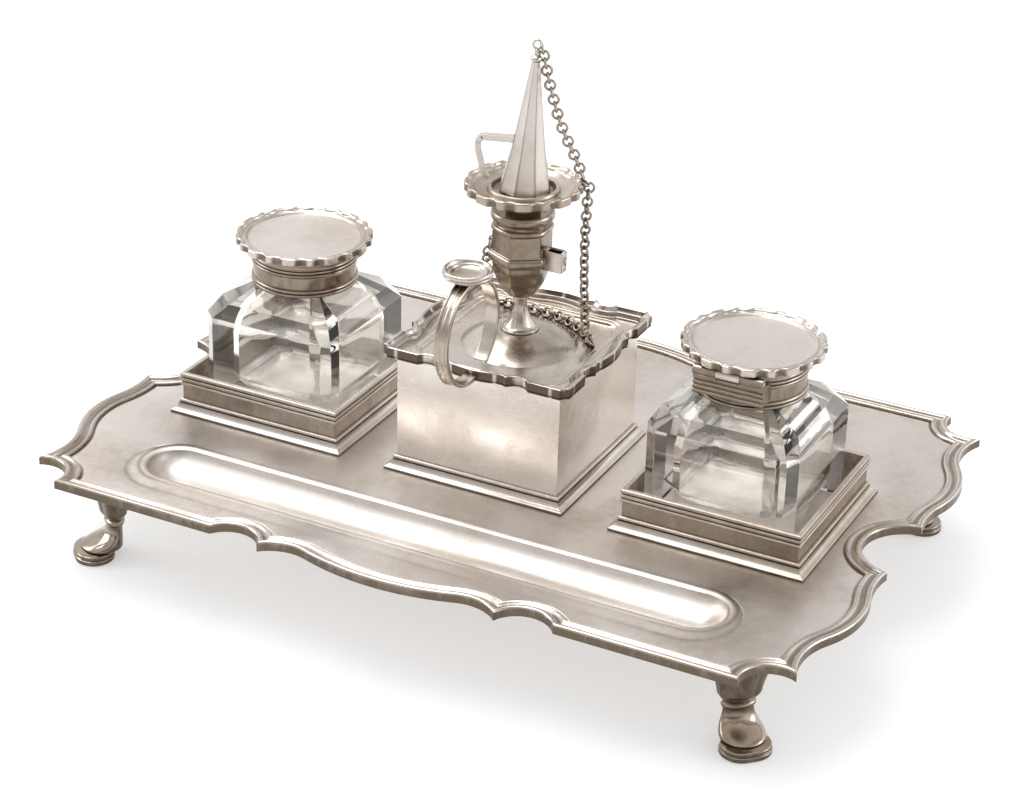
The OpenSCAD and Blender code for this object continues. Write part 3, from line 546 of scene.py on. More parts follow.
@dataclass(frozen=True)
class SilverFinish:
    """Polished silver with a light tarnish, with painted shade in its hollows and on faces that don't look up.

    metal and tarnish: colours. gloss: roughness of clean metal. haze: further roughness in clouds. age: how much
    tarnish lies in the open. grime: how much tarnish and painted shade lie in hollows, found by ambient
    occlusion. reach: how far a hollow reaches, in metres. sides: how much painted shade, in the tarnish colour, lies on
    faces that don't look up. tone: how light that painted shade is. film: how much tarnish lies everywhere.
    dents and scratches: strengths.
    """

    name: str
    metal: Triple = (0.89, 0.835, 0.79)
    tarnish: Triple = (0.42, 0.33, 0.24)
    gloss: float = 0.13
    haze: float = 0.12
    age: float = 1.0
    grime: float = 1.0
    reach: float = 0.0022
    sides: float = 0.5
    tone: float = 0.7
    film: float = 0.0
    dents: float = 0.2
    scratches: float = 0.12

    def aged(self, part: float, dark: float) -> Triple:
        """The metal's colour with a part of tarnish in it, darkened."""
        return tuple(dark * ((1 - part) * a + part * b) for a, b in zip(self.metal, self.tarnish))

    def material(self) -> bpy.types.Material:
        """Makes the material.

        Returns:
            The material.
        """
        made = bpy.data.materials.new(self.name)
        g = Graph(made)
        here = g.place()
        clouds = g.noise(here, 38, 4, 0.55, 0.4)
        mottle = g.noise(here, 260, 4, 0.6)
        drawn = g.noise(g.place((60, 1700, 1700), (0, 0, 0.35)), 1, 2, 0.6)
        crossed = g.noise(g.place((1500, 70, 1500), (0, 0, -0.5)), 1, 2, 0.6)
        lines = (drawn.rising(0.52, 0.74) + crossed.rising(0.55, 0.78)).limited()
        # Tarnish and painted shade in hollows: ambient occlusion darkens creases, recesses and the places between parts
        # toward a dark tarnish colour.
        outward = {"samples": 6, "inside": False}
        hollow = g.node("ShaderNodeAmbientOcclusion", outward, {"Distance": self.reach}).out("AO")
        grime = ((1 - hollow).rising(0.16, 0.8) * (0.55 + 0.6 * mottle) * self.grime).limited()
        # Painted shade: faces that don't look up are darkened, in streaks, toward a dim tarnish colour, standing in for
        # their darker reflections.
        streaks = g.noise(g.place((160, 160, 70)), 1, 4, 0.6, 1.2)
        normal = g.node("ShaderNodeNewGeometry").out("Normal")
        upright = g.node("ShaderNodeSeparateXYZ", {}, {0: normal}).out("Z")
        flank = ((1 - upright.rising(0.0, 0.72)) * (0.78 + 0.35 * streaks.rising(0.3, 0.75)) * self.sides).limited()
        broad = g.noise(here, 13, 3, 0.5, 0.8)
        grain = g.noise(here, 950, 2, 0.7).rising(0.35, 0.7)
        stain = (clouds * 0.6 + broad * 0.4).rising(0.4, 0.66) * (0.1 + 1.3 * mottle)
        stain = ((stain + 0.22 * grain) * self.age + self.film).limited()
        colour = g.blend(stain, self.metal, self.aged(0.65, 1))
        # The painted shade on the side faces goes into the colour here.
        colour = g.blend(flank, colour, self.aged(1, self.tone))
        # Grime and painted shade set on each piece's points: in hollows and grooves, under rims and along lines.
        painted = g.node("ShaderNodeAttribute", {"attribute_name": PAINT}).out("Fac")
        grime = (grime + painted * (0.6 + 0.6 * mottle)).limited()
        colour = g.blend(grime, colour, self.aged(1, 0.34))
        rough = self.gloss + self.haze * clouds.rising(0.3, 0.75) + 0.07 * mottle + 0.05 * lines + 0.16 * grime
        height = g.noise(here, 55, 2, 0.4) * 0.5 + mottle * 0.02 + lines * -0.004 * self.scratches
        bump = g.node("ShaderNodeBump", {}, {"Strength": self.dents, "Distance": 0.0011, "Height": height})
        g.finish(g.node("ShaderNodeBsdfPrincipled", {}, {
            "Base Color": colour, "Metallic": 1.0, "Roughness": rough, "Normal": bump,
        }))
        return made


@dataclass(frozen=True)
class GlassFinish:
    """Clear cut glass, with the faint waves of hand polishing and a little dust."""

    name: str
    tint: Triple = (1.0, 0.99, 0.965)
    gloss: float = 0.006

    def material(self) -> bpy.types.Material:
        """Makes the material.

        Returns:
            The material.
        """
        made = bpy.data.materials.new(self.name)
        g = Graph(made)
        here = g.place()
        waves = g.noise(here, 90, 2, 0.4)
        dust = g.noise(here, 900, 3, 0.6).rising(0.62, 0.9)
        rough = self.gloss + dust * 0.02
        bump = g.node("ShaderNodeBump", {}, {"Strength": 0.12, "Distance": 0.0006, "Height": waves})
        colour = g.blend(dust * 0.3, self.tint, (0.95, 0.96, 0.95))
        glass = g.node("ShaderNodeBsdfPrincipled", {}, {
            "Base Color": colour, "Transmission Weight": 1.0, "IOR": 1.43, "Roughness": rough, "Normal": bump,
        })
        polish = g.node("ShaderNodeBsdfGlossy", {}, {"Color": (0.96, 0.95, 0.93), "Roughness": 0.03, "Normal": bump})
        inside = g.node("ShaderNodeNewGeometry").out("Backfacing")
        sheen = (g.node("ShaderNodeFresnel", {}, {"IOR": 1.6, "Normal": bump}).out() * 1.3 * (1 - inside)).limited()
        glass = g.node("ShaderNodeMixShader", {}, {0: sheen, 1: glass, 2: polish})
        clear = g.node("ShaderNodeBsdfTransparent", {}, {"Color": (0.9, 0.92, 0.91)})
        shadow = g.node("ShaderNodeLightPath").out("Is Shadow Ray")
        g.finish(g.node("ShaderNodeMixShader", {}, {0: shadow, 1: glass, 2: clear}))
        return made


class Finish(Enum):
    """The finishes of the inkstand's pieces."""

    SHEET = SilverFinish(
        "silver_sheet", (0.93, 0.88, 0.835), gloss=0.26, haze=0.16, age=0.75, grime=0.9, sides=0.05, dents=0.4,
        scratches=0.8)
    PAN = SilverFinish("silver_pan", haze=0.14, sides=0.25, film=0.26, dents=0.6, scratches=0.6)
    WALL = SilverFinish(
        "silver_wall", (0.93, 0.88, 0.84), gloss=0.16, age=0.6, grime=0.8, sides=0.0, film=0.04, dents=0.5,
        scratches=0.5)
    BAND = SilverFinish(
        "silver_band", gloss=0.16, grime=1.2, reach=0.004, sides=0.72, film=0.05, dents=0.4, scratches=0.3)
    MOULDING = SilverFinish("silver_moulding", gloss=0.19, age=0.9, grime=1.2, reach=0.004, sides=0.6, film=0.18)
    EDGE = SilverFinish("silver_edge", gloss=0.15, age=0.8, reach=0.003, sides=0.35, film=0.14)
    RIM = SilverFinish("silver_rim", gloss=0.14, age=0.8, reach=0.0035, sides=1.1, tone=0.38, film=0.16)
    PAN_RIM = SilverFinish("silver_pan_rim", gloss=0.12, age=0.8, reach=0.003, sides=0.1, film=0.14, dents=0.3)
    CAST = SilverFinish("silver_cast", gloss=0.12, age=0.9, reach=0.006, film=0.28, dents=0.4)
    FOOT = SilverFinish(
        "silver_foot", (0.62, 0.56, 0.5), gloss=0.07, age=0.9, reach=0.008, sides=1.0, tone=0.3, film=0.5, dents=0.5)
    SOCKET = SilverFinish("silver_socket", (0.74, 0.68, 0.62), reach=0.006, sides=1.0, tone=0.58, film=0.45, dents=0.3)
    COLLAR = SilverFinish("silver_collar", (0.62, 0.57, 0.52), grime=1.2, reach=0.004, sides=0.95, tone=0.54, film=0.25)
    TURNED = SilverFinish("silver_turned", age=0.7, reach=0.0035, sides=0.4, film=0.12, dents=0.25)
    DRIP = SilverFinish("silver_drip", gloss=0.17, reach=0.006, sides=0.6, film=0.5, dents=0.25)
    CONE = SilverFinish("silver_cone", gloss=0.34, age=0.5, grime=0.9, reach=0.002, sides=0.06, film=0.06, dents=0.3)
    CHAIN = SilverFinish(
        "silver_chain", (0.6, 0.56, 0.5), gloss=0.18, age=0.25, reach=0.003, tone=0.55, film=0.35, dents=0.1)
    GLASS = GlassFinish("cut_glass")


class Slot(Enum):
    """The record's material slots."""

    PLAIN = "plain_silver"
    MOULDED = "moulded_silver"
    CAST = "cast_silver"
    CHAIN = "chain_silver"
    GLASS = "clear_glass"


class Bench:
    """Makes the materials once and hands them out."""

    _made: dict[Finish, bpy.types.Material] = {}

    @classmethod
    def material(cls, finish: Finish) -> bpy.types.Material:
        """The material of a finish.

        Args:
            finish: The finish.

        Returns:
            Its material, made at the first call.
        """
        if finish not in cls._made:
            cls._made[finish] = finish.value.material()
        return cls._made[finish]


# Mesh building


class Shell:
    """Points and faces of one piece, in millimetres, gathered before the piece is made."""

    def __init__(self) -> None:
        """Starts with nothing."""
        self.points: list[Array] = []
        self.faces: list[list[int]] = []
        self.count = 0

    def add(self, points: Array, faces: Sequence[Sequence[int]]) -> "Shell":
        """Adds points and the faces between them.

        Args:
            points: The points.
            faces: Each face's points, counted from the first of them.

        Returns:
            The shell.
        """
        self.points.append(np.asarray(points, float))
        self.faces += [[i + self.count for i in f] for f in faces]
        self.count += len(points)
        return self

    def net(self, rings: Sequence[Array], closed: bool = True, tube: bool = False) -> "Shell":
        """Adds a net through rings of equal counts.

        Args:
            rings: The rings, each of n points.
            closed: Whether each ring joins its own start.
            tube: Whether the last ring joins the first.

        Returns:
            The shell.
        """
        m, n = len(rings), len(rings[0])
        faces = []
        for j in range(m if tube else m - 1):
            for i in range(n if closed else n - 1):
                a, b = j * n, ((j + 1) % m) * n
                faces.append([a + i, a + (i + 1) % n, b + (i + 1) % n, b + i])
        return self.add(np.vstack(rings), faces)

    def cap(self, ring: Array) -> "Shell":
        """Adds one flat face on a ring."""
        return self.add(ring, [list(range(len(ring)))])

    def fan(self, ring: Array, centre: Sequence[float]) -> "Shell":
        """Adds triangles from a ring to a point."""
        n = len(ring)
        return self.add(np.vstack([ring, [centre]]), [[i, (i + 1) % n, n] for i in range(n)])

    def sheet(self, outer: Array, *holes: Array) -> "Shell":
        """Adds a flat sheet inside an outline, with holes.

        Args:
            outer: The outline, all at one height.
            holes: The holes' outlines, at the same height.

        Returns:
            The shell.
        """
        work = bmesh.new()
        for ring in (outer, *holes):
            corners = [work.verts.new(p) for p in ring]
            for i, corner in enumerate(corners):
                work.edges.new((corner, corners[(i + 1) % len(corners)]))
        bmesh.ops.triangle_fill(work, edges=work.edges[:], use_beauty=True, use_dissolve=False)
        work.verts.index_update()
        points = np.array([v.co[:] for v in work.verts])
        faces = [[v.index for v in f.verts] for f in work.faces]
        work.free()
        return self.add(points, faces)

    def turned(
        self, profile: Array, spokes: int = 96, edge: Optional[Callable[[Array, Array], Array]] = None,
    ) -> "Shell":
        """Adds a form of revolution about Z.

        Args:
            profile: Its half section, as radius and height; a radius of 0 closes it.
            spokes: The number of spans round it.
            edge: Gives the radii of a ring from the radius and the angle of each point, for a scalloped form whose
                section goes all the way round.

        Returns:
            The shell.
        """
        a = angles(spokes)
        rings = []
        for r, z in profile:
            radii = np.full(spokes, max(r, 1e-4))
            rings.append(circle(edge(radii, a) if edge else radii, a, z))
        return self.net(rings, tube=edge is not None)

    def bar(self, section: Array, start: float, end: float) -> "Shell":
        """Adds a bar along X, from its section in Y and Z, closed at both ends."""
        ends = [np.column_stack([np.full(len(section), x), section]) for x in (start, end)]
        return self.net(ends).cap(ends[0]).cap(ends[1][::-1])

    def hoop(self, radius: float, wire: float, count: int, sides: int = 12, tall: float = 1.0) -> "Shell":
        """Adds an upright ring of round wire, which faces along Y.

        Args:
            radius: The radius of its middle line.
            wire: The radius of the wire.
            count: The number of spans round the ring.
            sides: The number of spans round the wire.
            tall: How much taller it is than it is wide, as a factor.

        Returns:
            The shell.
        """
        a = angles(sides)
        rings = []
        for t in angles(count):
            out = np.array([tall * math.cos(t), 0, math.sin(t)])
            across = np.outer(np.cos(a), out / np.linalg.norm(out)) + np.outer(np.sin(a), (0, 1, 0))
            rings.append(radius * np.array([math.cos(t), 0, tall * math.sin(t)]) + wire * across)
        return self.net(rings, tube=True)

    def moved(self, matrix: Matrix) -> "Shell":
        """The same shell moved by a matrix.

        Args:
            matrix: The matrix.

        Returns:
            The shell.
        """
        m = np.array(matrix)
        self.points = [p @ m[:3, :3].T + m[:3, 3] for p in self.points]
        return self

    def shifted(self, x: float = 0.0, y: float = 0.0, z: float = 0.0) -> "Shell":
        """The same shell moved along the axes."""
        return self.moved(Matrix.Translation((x, y, z)))

    def joined(self, other: "Shell") -> "Shell":
        """Adds all of another shell.

        Args:
            other: The other shell.

        Returns:
            The shell.
        """
        self.points += other.points
        self.faces += [[i + self.count for i in f] for f in other.faces]
        self.count += other.count
        return self

    def make(
        self, name: str, body: str, finish: Finish, slot: Slot, node: str, crease: float = 34, ride: bool = True,
        painted: Optional[Callable[[Array], Array]] = None,
    ) -> bpy.types.Object:
        """Makes the piece, in metres, with a finish, on its body.

        Args:
            name: The piece's name.
            body: The body that it moves with.
            finish: Its finish.
            slot: The record's slot that it belongs to; not used.
            node: The CAD node that it replaces.
            crease: The angle between faces above which an edge is sharp, in degrees.
            ride: Whether it simply rides on the body.
            painted: Gives the grime and painted shade at places, in millimetres, from 0 to 1.

        Returns:
            The piece.
        """
        mesh = bpy.data.meshes.new(name)
        mesh.from_pydata((np.vstack(self.points) * MM).tolist(), [], self.faces)
        work = bmesh.new()
        work.from_mesh(mesh)
        bmesh.ops.remove_doubles(work, verts=work.verts, dist=2e-6)
        bmesh.ops.dissolve_degenerate(work, edges=work.edges, dist=1e-6)
        bmesh.ops.recalc_face_normals(work, faces=work.faces)
        limit = math.radians(crease)
        for face in work.faces:
            face.smooth = True
        for edge in work.edges:
            edge.smooth = len(edge.link_faces) == 2 and edge.calc_face_angle(0.0) < limit
        work.to_mesh(mesh)
        work.free()
        piece = bpy.data.objects.new(name, mesh)
        bpy.context.scene.collection.objects.link(piece)
        mesh.materials.append(Bench.material(finish))
        if painted is not None:
            places = np.array([v.co[:] for v in mesh.vertices]) / MM
            paint = mesh.attributes.new(PAINT, "FLOAT", "POINT")
            paint.data.foreach_set("value", painted(places).astype(np.float32))
        soft = piece.modifiers.new("flat_faces_stay_flat", "WEIGHTED_NORMAL")
        soft.keep_sharp = True
        soft.weight = 60
        if ride:
            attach(piece, body)
        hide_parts(node)
        LOG.info("%s: %d faces on %s", name, len(mesh.polygons), body)
        return piece


def moulding(outline: Callable[[float], Array], section: Array, base: float) -> Shell:
    """A moulding swept round an outline, as a closed tube.

    Args:
        outline: Gives the outline drawn in by a distance.
        section: The moulding's section, as distance drawn in and height, going round.
        base: The height that the section's heights start from.

    Returns:
        The shell.
    """
    return Shell().net([lifted(outline(u), base + v) for u, v in section], tube=True)


# Tray


@dataclass
class Tray:
    """The shaped tray: its sheet with the sunk pen trough, and its border."""

    width: float = 298.6
    depth: float = 213.2
    thick: float = 1.4
    skirt_drop: float = 0.8
    skirt_t: float = 1.2
    end_notch: tuple[float, float] = (3.3, 17.6)
    end_lobe: Triple = (2.9, 47.0, 38.0)
    end_slack: tuple[float, float] = (0.7, 24.5)
    flank: tuple[float, float] = (5.8, 79.5)
    trough_y: float = 69.0
    trough_len: float = 226.0
    trough_w: float = 24.0
    trough_deep: float = 7.0
    dish_run: float = 101.0
    dish_r: float = 17.9
    dish_off: float = 3.3
    side: ShapedSide = field(init=False)

    def __post_init__(self) -> None:
        """Works out the long side and the trough's run."""
        crest = self.depth / 2
        corner = (self.width / 2 - 8.3, crest - 6.3, 10.5)
        self.side = ShapedSide(crest, crest - 3.5, (56.2, 2.5, 11.35), (34.2, 10.3, 16.0), corner)
        self.trough_run = (self.trough_len - self.trough_w) / 2

    def quarter(self, inset: float) -> Array:
        """One quarter of the outline.

        Args:
            inset: The distance drawn in.

        Returns:
            Points from the middle of the end to the middle of the long side.
        """
        half = self.width / 2
        notch, notch_r = np.array([half + self.end_notch[0], 0.0]), self.end_notch[1] + inset
        out, crest_y, lobe_r = self.end_lobe
        lobe = np.array([half + out - lobe_r, crest_y])

        def slack(x: float, y: float) -> tuple[Array, float]:
            """The slack that runs smoothly out of the lobe.

            Args:
                x: Its centre's place across.
                y: The place along at which it is deepest.

            Returns:
                Its centre and radius.
            """
            a, b = x - lobe[0], y - lobe[1]
            r = (a * a + b * b - lobe_r * lobe_r) / (2 * (lobe_r - a))
            return np.array([x + r, y]), r

        low, low_r = slack(half - self.end_slack[0], self.end_slack[1])
        high, high_r = slack(half - self.flank[0], self.flank[1])
        corner, corner_r = np.array(self.side.corner[:2]), self.side.corner[2] + inset
        first, last = meet(notch, notch_r, low, low_r + inset), meet(high, high_r + inset, corner, corner_r)
        joins = [lobe + (lobe_r - inset) * (c - lobe) / np.linalg.norm(c - lobe) for c in (low, high)]
        return np.vstack([
            arc_between(notch, np.array([notch[0] - notch_r, 0.0]), first, 12), arc_between(low, first, joins[0], 5),
            arc_between(lobe, *joins, 16), arc_between(high, joins[1], last, 8),
            arc_between(corner, last, self.side.start(inset), 14), self.side.points(inset, 8),
        ])

    def outline(self, inset: float) -> Array:
        """The whole outline, drawn in by inset."""
        return four_quarters(self.quarter(inset))

    def border(self) -> None:
        """Builds the moulded border."""
        top = curved([
            (0.04, 0.5), (0.12, 0.85), (0.45, 1.25), (0.95, 1.42), (1.5, 1.4), (2.0, 1.05), (2.35, 0.5), (2.75, 0.22),
            (3.3, 0.2), (3.9, 0.42), (4.5, 0.82), (5.0, 0.98), (5.45, 0.82), (5.75, 0.4), (5.95, -0.1), (6.1, -0.38),
        ], 3)
        low = -self.thick - self.skirt_drop
        under = eased([(6.1, -0.45), (self.skirt_t, -0.45), (self.skirt_t, low), (0.04, low), (0.04, 0.5)], 0.2)
        moulding(self.outline, np.vstack([top, under[1:-1]]), FIELD).make(
            "tray_border_moulding", "tray", Finish.RIM, Slot.MOULDED, "tray_border", crease=30, painted=self.grooves)

    def grooves(self, places: Array) -> Array:
        """Grime and painted shade along the border's foot and between its reeds, and painted shade on its outer face
        and underside: all that lies below half a millimetre over the field.
        """
        return 0.7 * share((0.5 - (places[:, 2] - FIELD)) / 0.35)

    def trough_ring(self, half: float) -> Array:
        """A ring round the trough, half wide on each side of its middle line."""
        return stadium(self.trough_run, max(half, 1e-3), -self.trough_y)

    def sheet(self) -> None:
        """Builds the sheet with its trough, top and underside."""
        w, deep = self.trough_w / 2, self.trough_deep
        lip = curved([
            (w + 2.6, 0.0), (w + 2.1, 0.02), (w + 1.4, 0.1), (w + 0.7, 0.12), (w - 0.1, -0.08), (w - 0.9, -0.5),
        ], 4)
        line = np.vstack([lip, bowl(w, deep, np.linspace(w - 1.6, 0, 16))])
        mouth = self.trough_ring(line[0][0])
        dish = stadium(self.dish_run, self.dish_r, -self.trough_y - self.dish_off)
        shell = Shell()
        border_foot = ((5.9, -0.4), (6.2, -0.36), (6.55, -0.1), (6.9, 0.0))
        shell.net([lifted(self.outline(u), FIELD + z) for u, z in border_foot])
        shell.sheet(lifted(self.outline(6.9), FIELD), lifted(dish, FIELD))
        steps = [
            (0.0, 0.0), (0.08, -0.03), (0.18, -0.11), (0.28, -0.15), (0.42, -0.13), (0.62, -0.06), (0.85, -0.01),
            (1.0, 0.0),
        ]
        shell.net([lifted(dish + (mouth - dish) * t, FIELD + z) for t, z in steps])
        shell.net([lifted(self.trough_ring(u), FIELD + z) for u, z in line])
        w, deep, low = w + 1.3, deep + self.thick, FIELD - self.thick
        outside = bowl(w, deep, np.linspace(w - 0.6, 0, 14))
        outside[0] = (outside[0][0], -self.thick)
        shell.sheet(lifted(self.outline(self.skirt_t), low), lifted(self.trough_ring(outside[0][0]), low))
        shell.net([lifted(self.trough_ring(u), FIELD + z) for u, z in outside])
        shell.make("tray_sheet", "tray", Finish.SHEET, Slot.PLAIN, "tray_plate", crease=28, painted=self.dark_end_lines)

    def dark_end_lines(self, places: Array) -> Array:
        """The darker lines round the ends of the trough and its dish.

        Args:
            places: The sheet's points.

        Returns:
            The darkening, from 0 to 1.
        """
        x, y = np.abs(places[:, 0]), places[:, 1] + self.trough_y
        end = np.clip((x - 82) / 22, 0.08, 1) * (places[:, 2] > FIELD - self.thick * 0.9)
        dish = np.hypot(np.maximum(x - self.dish_run, 0), y + self.dish_off)
        mouth = np.hypot(np.maximum(x - self.trough_run, 0), y) - self.trough_w / 2
        lines = (
            0.55 * np.exp(-(((dish - 16.9) / 1.3) ** 2)) + 0.6 * np.exp(-(((mouth - 2.2) / 0.8) ** 2))
            + 0.5 * np.exp(-(((mouth + 0.9) / 0.7) ** 2))
        )
        return end * share(lines)

    def build(self) -> None:
        """Builds the tray."""
        self.border()
        self.sheet()


@dataclass
class Foot:
    """One foot: a leafy cap, a moulded ankle, and a leg that turns out into a toe on an oval pad."""

    name: str
    x: float
    y: float
    toward: float
    ankle: float = 13.8
    pad_h: float = 3.6
    pad_r: float = 7.2
    pad_extra: float = 3.6
    reach: float = 8.0

    def leg(self) -> Shell:
        """The cap, ankle and leg as one skin, with the toe toward +X.

        Each row holds the place outward, the height, the half width, the half depth and how leafy it is.

        Returns:
            The shell.
        """
        a, p = self.ankle, self.pad_h
        rows = [
            (0, a + 22.4, 10.6, 7.6, 0.9), (0, a + 18, 10.4, 7.5, 0.9), (0, a + 13, 9.4, 6.9, 0.8),
            (0, a + 9.0, 8.3, 5.9, 0.7), (0, a + 6.0, 7.7, 5.3, 0.6), (0, a + 4.6, 7.5, 5.1, 0.5),
            (0, a + 3.8, 7.1, 4.7, 0.3), (0, a + 2.6, 6.2, 3.9, 0.1), (0, a + 1.7, 5.6, 3.2, 0),
            (0, a + 1.2, 5.5, 3.0, 0), (0, a + 0.9, 5.9, 3.4, 0), (0, a + 0.45, 6.15, 3.65, 0),
            (0, a - 0.1, 6.1, 3.6, 0), (0, a - 0.5, 5.8, 3.2, 0), (0, a - 0.8, 5.5, 2.9, 0),
            (0.05, a - 2.2, 5.5, 2.8, 0), (0.3, a - 3.8, 5.8, 3.0, 0), (0.8, p + 5.2, 6.3, 3.5, 0),
            (1.5, p + 4.2, 6.8, 4.2, 0), (2.5, p + 3.2, 7.3, 5.2, 0), (3.6, p + 2.3, 7.7, 6.3, 0),
            (4.5, p + 1.5, 7.9, 7.2, 0), (4.9, p + 0.9, 7.9, 7.6, 0), (4.9, p + 0.45, 7.7, 7.5, 0),
            (4.8, p + 0.15, 7.2, 7.1, 0),
        ]
        t = angles(48)
        rings = []
        for u, z, width, depth, leaf in curved(rows, 2):
            swell = 1 + 0.16 * leaf * (np.abs(np.cos(3 * t)) ** 0.7 - 0.55)
            rings.append(lifted(np.column_stack([u + depth * np.cos(t) * swell, width * np.sin(t) * swell]), z))
        return Shell().net(rings).fan(rings[-1], rings[-1].mean(0)).cap(rings[0][::-1])

    def pad(self) -> Shell:
        """The oval pad with its groove.

        Returns:
            The shell.
        """
        h, extra = self.pad_h, self.pad_extra / 2
        line = eased([
            (0.3, 0.0), (0.0, 0.3), (0, 0.46 * h), (0.55, 0.53 * h), (0.75, 0.58 * h), (0.35, 0.64 * h), (0.3, 0.9 * h),
            (0.8, h),
        ], 0.2)
        rings = []
        for inset, z in line:
            r = self.pad_r - inset
            half = np.vstack([arc([0, extra], r, 0, 180, 20), arc([0, -extra], r, 180, 360, 20)])
            rings.append(lifted(half + [self.reach, 0], z))
        crown = rings[-1]
        middle = np.array([self.reach, 0, h + 0.35])
        inner = crown + (middle - crown) * 0.35 + [0, 0, 0.22]
        return Shell().net(rings).net([crown, inner]).fan(inner, middle + [0, 0, 0.05]).cap(rings[0][::-1])

    def build(self) -> None:
        """Builds the foot in its place."""
        shell = self.leg().joined(self.pad())
        shell.moved(Matrix.Translation((self.x, self.y, 0)) @ Matrix.Rotation(math.radians(self.toward), 4, "Z"))
        shell.make(self.name + "_casting", "tray", Finish.FOOT, Slot.CAST, self.name, crease=50)


# Galleries and box


@dataclass
class Gallery:
    """A square enclosure for a well: base moulding, thin wall and reeded rim.

    name: also the start of its nodes' names. x: its place along the tray.
    """

    name: str
    x: float
    width: float = 65.4
    height: float = 15.4
    thick: float = 1.2
    rim_h: float = 5.0
    rim_out: float = 0.7
    base_h: float = 5.0
    base_out: float = 3.6

    def ring(self, inset: float) -> Array:
        """The wall's outline, drawn in by inset."""
        return square_ring(self.width / 2 - inset, 0.22, 3, 5) + [self.x, 0]

    def base(self) -> None:
        """Builds the base moulding."""
        o, h = self.base_out, self.base_h
        line = np.vstack([
            eased([(-0.93 * o, 0.0), (-o, 0.03 * h), (-o, 0.16 * h), (-0.9 * o, 0.2 * h)], 0.12),
            curved([
                (-0.88 * o, 0.22 * h), (-0.72 * o, 0.28 * h), (-0.52 * o, 0.4 * h), (-0.4 * o, 0.56 * h),
                (-0.36 * o, 0.68 * h),
            ], 4),
            curved([
                (-0.16 * o, 0.7 * h), (-0.3 * o, 0.76 * h), (-0.34 * o, 0.84 * h), (-0.26 * o, 0.95 * h),
                (-0.08 * o, h), (-0.02, h),
            ], 3),
            [(0.4, h), (0.4, 0)],
        ])
        moulding(self.ring, line, FIELD).make(
            self.name + "_base_moulding", "tray", Finish.MOULDING, Slot.MOULDED, self.name + "_base", crease=32)

    def wall(self, height: float, ease: float) -> Shell:
        """The thin wall up to a height, with its edges eased."""
        return moulding(self.ring, eased([(0, 0.0), (0, height), (self.thick, height), (self.thick, 0)], ease), FIELD)

    def rim(self) -> None:
        """Builds the rim with its three reeds."""
        o, h = self.rim_out, self.rim_h
        reeds = (
            [
                (-0.02, 0.0), (-0.6 * o, 0.03 * h), (-o, 0.11 * h), (-0.95 * o, 0.2 * h), (-0.4 * o, 0.27 * h),
                (0.1, 0.29 * h),
            ], [
                (0.1, 0.33 * h), (-0.5 * o, 0.35 * h), (-0.9 * o, 0.42 * h), (-o, 0.52 * h), (-0.8 * o, 0.6 * h),
                (0.1, 0.65 * h),
            ], [
                (0.1, 0.69 * h), (-0.5 * o, 0.71 * h), (-o, 0.8 * h), (-0.9 * o, 0.93 * h), (-0.4 * o, 0.99 * h),
                (0.0, h),
            ],
        )
        lap = eased([(0.0, h), (self.thick, h), (self.thick, 0.88 * h), (0, 0.88 * h)], 0.15)
        line = np.vstack([*(curved(reed, 3) for reed in reeds), lap[1:], [(0.05, 0.1)]])
        moulding(self.ring, line, FIELD + self.height - h).make(
            self.name + "_rim_reeds", "tray", Finish.MOULDING, Slot.MOULDED, self.name + "_rim", crease=32)

    def build(self) -> None:
        """Builds the gallery."""
        self.base()
        self.wall(self.height - 0.5, 0.2).make(
            self.name + "_wall_sheet", "tray", Finish.BAND, Slot.PLAIN, self.name + "_wall", crease=32)
        self.rim()


@dataclass
class StampBox(Gallery):
    """The plain square box in the middle, whose cover is the chamberstick."""

    name: str = "stamp_box"
    x: float = 0.0
    width: float = 64.0
    height: float = 44.5

    def build(self) -> None:
        """Builds the box."""
        self.base()
        self.wall(self.height, 0.12).make(
            "stamp_box_sheet", "tray", Finish.WALL, Slot.PLAIN, "stamp_box_wall", crease=32)


# Inkwells


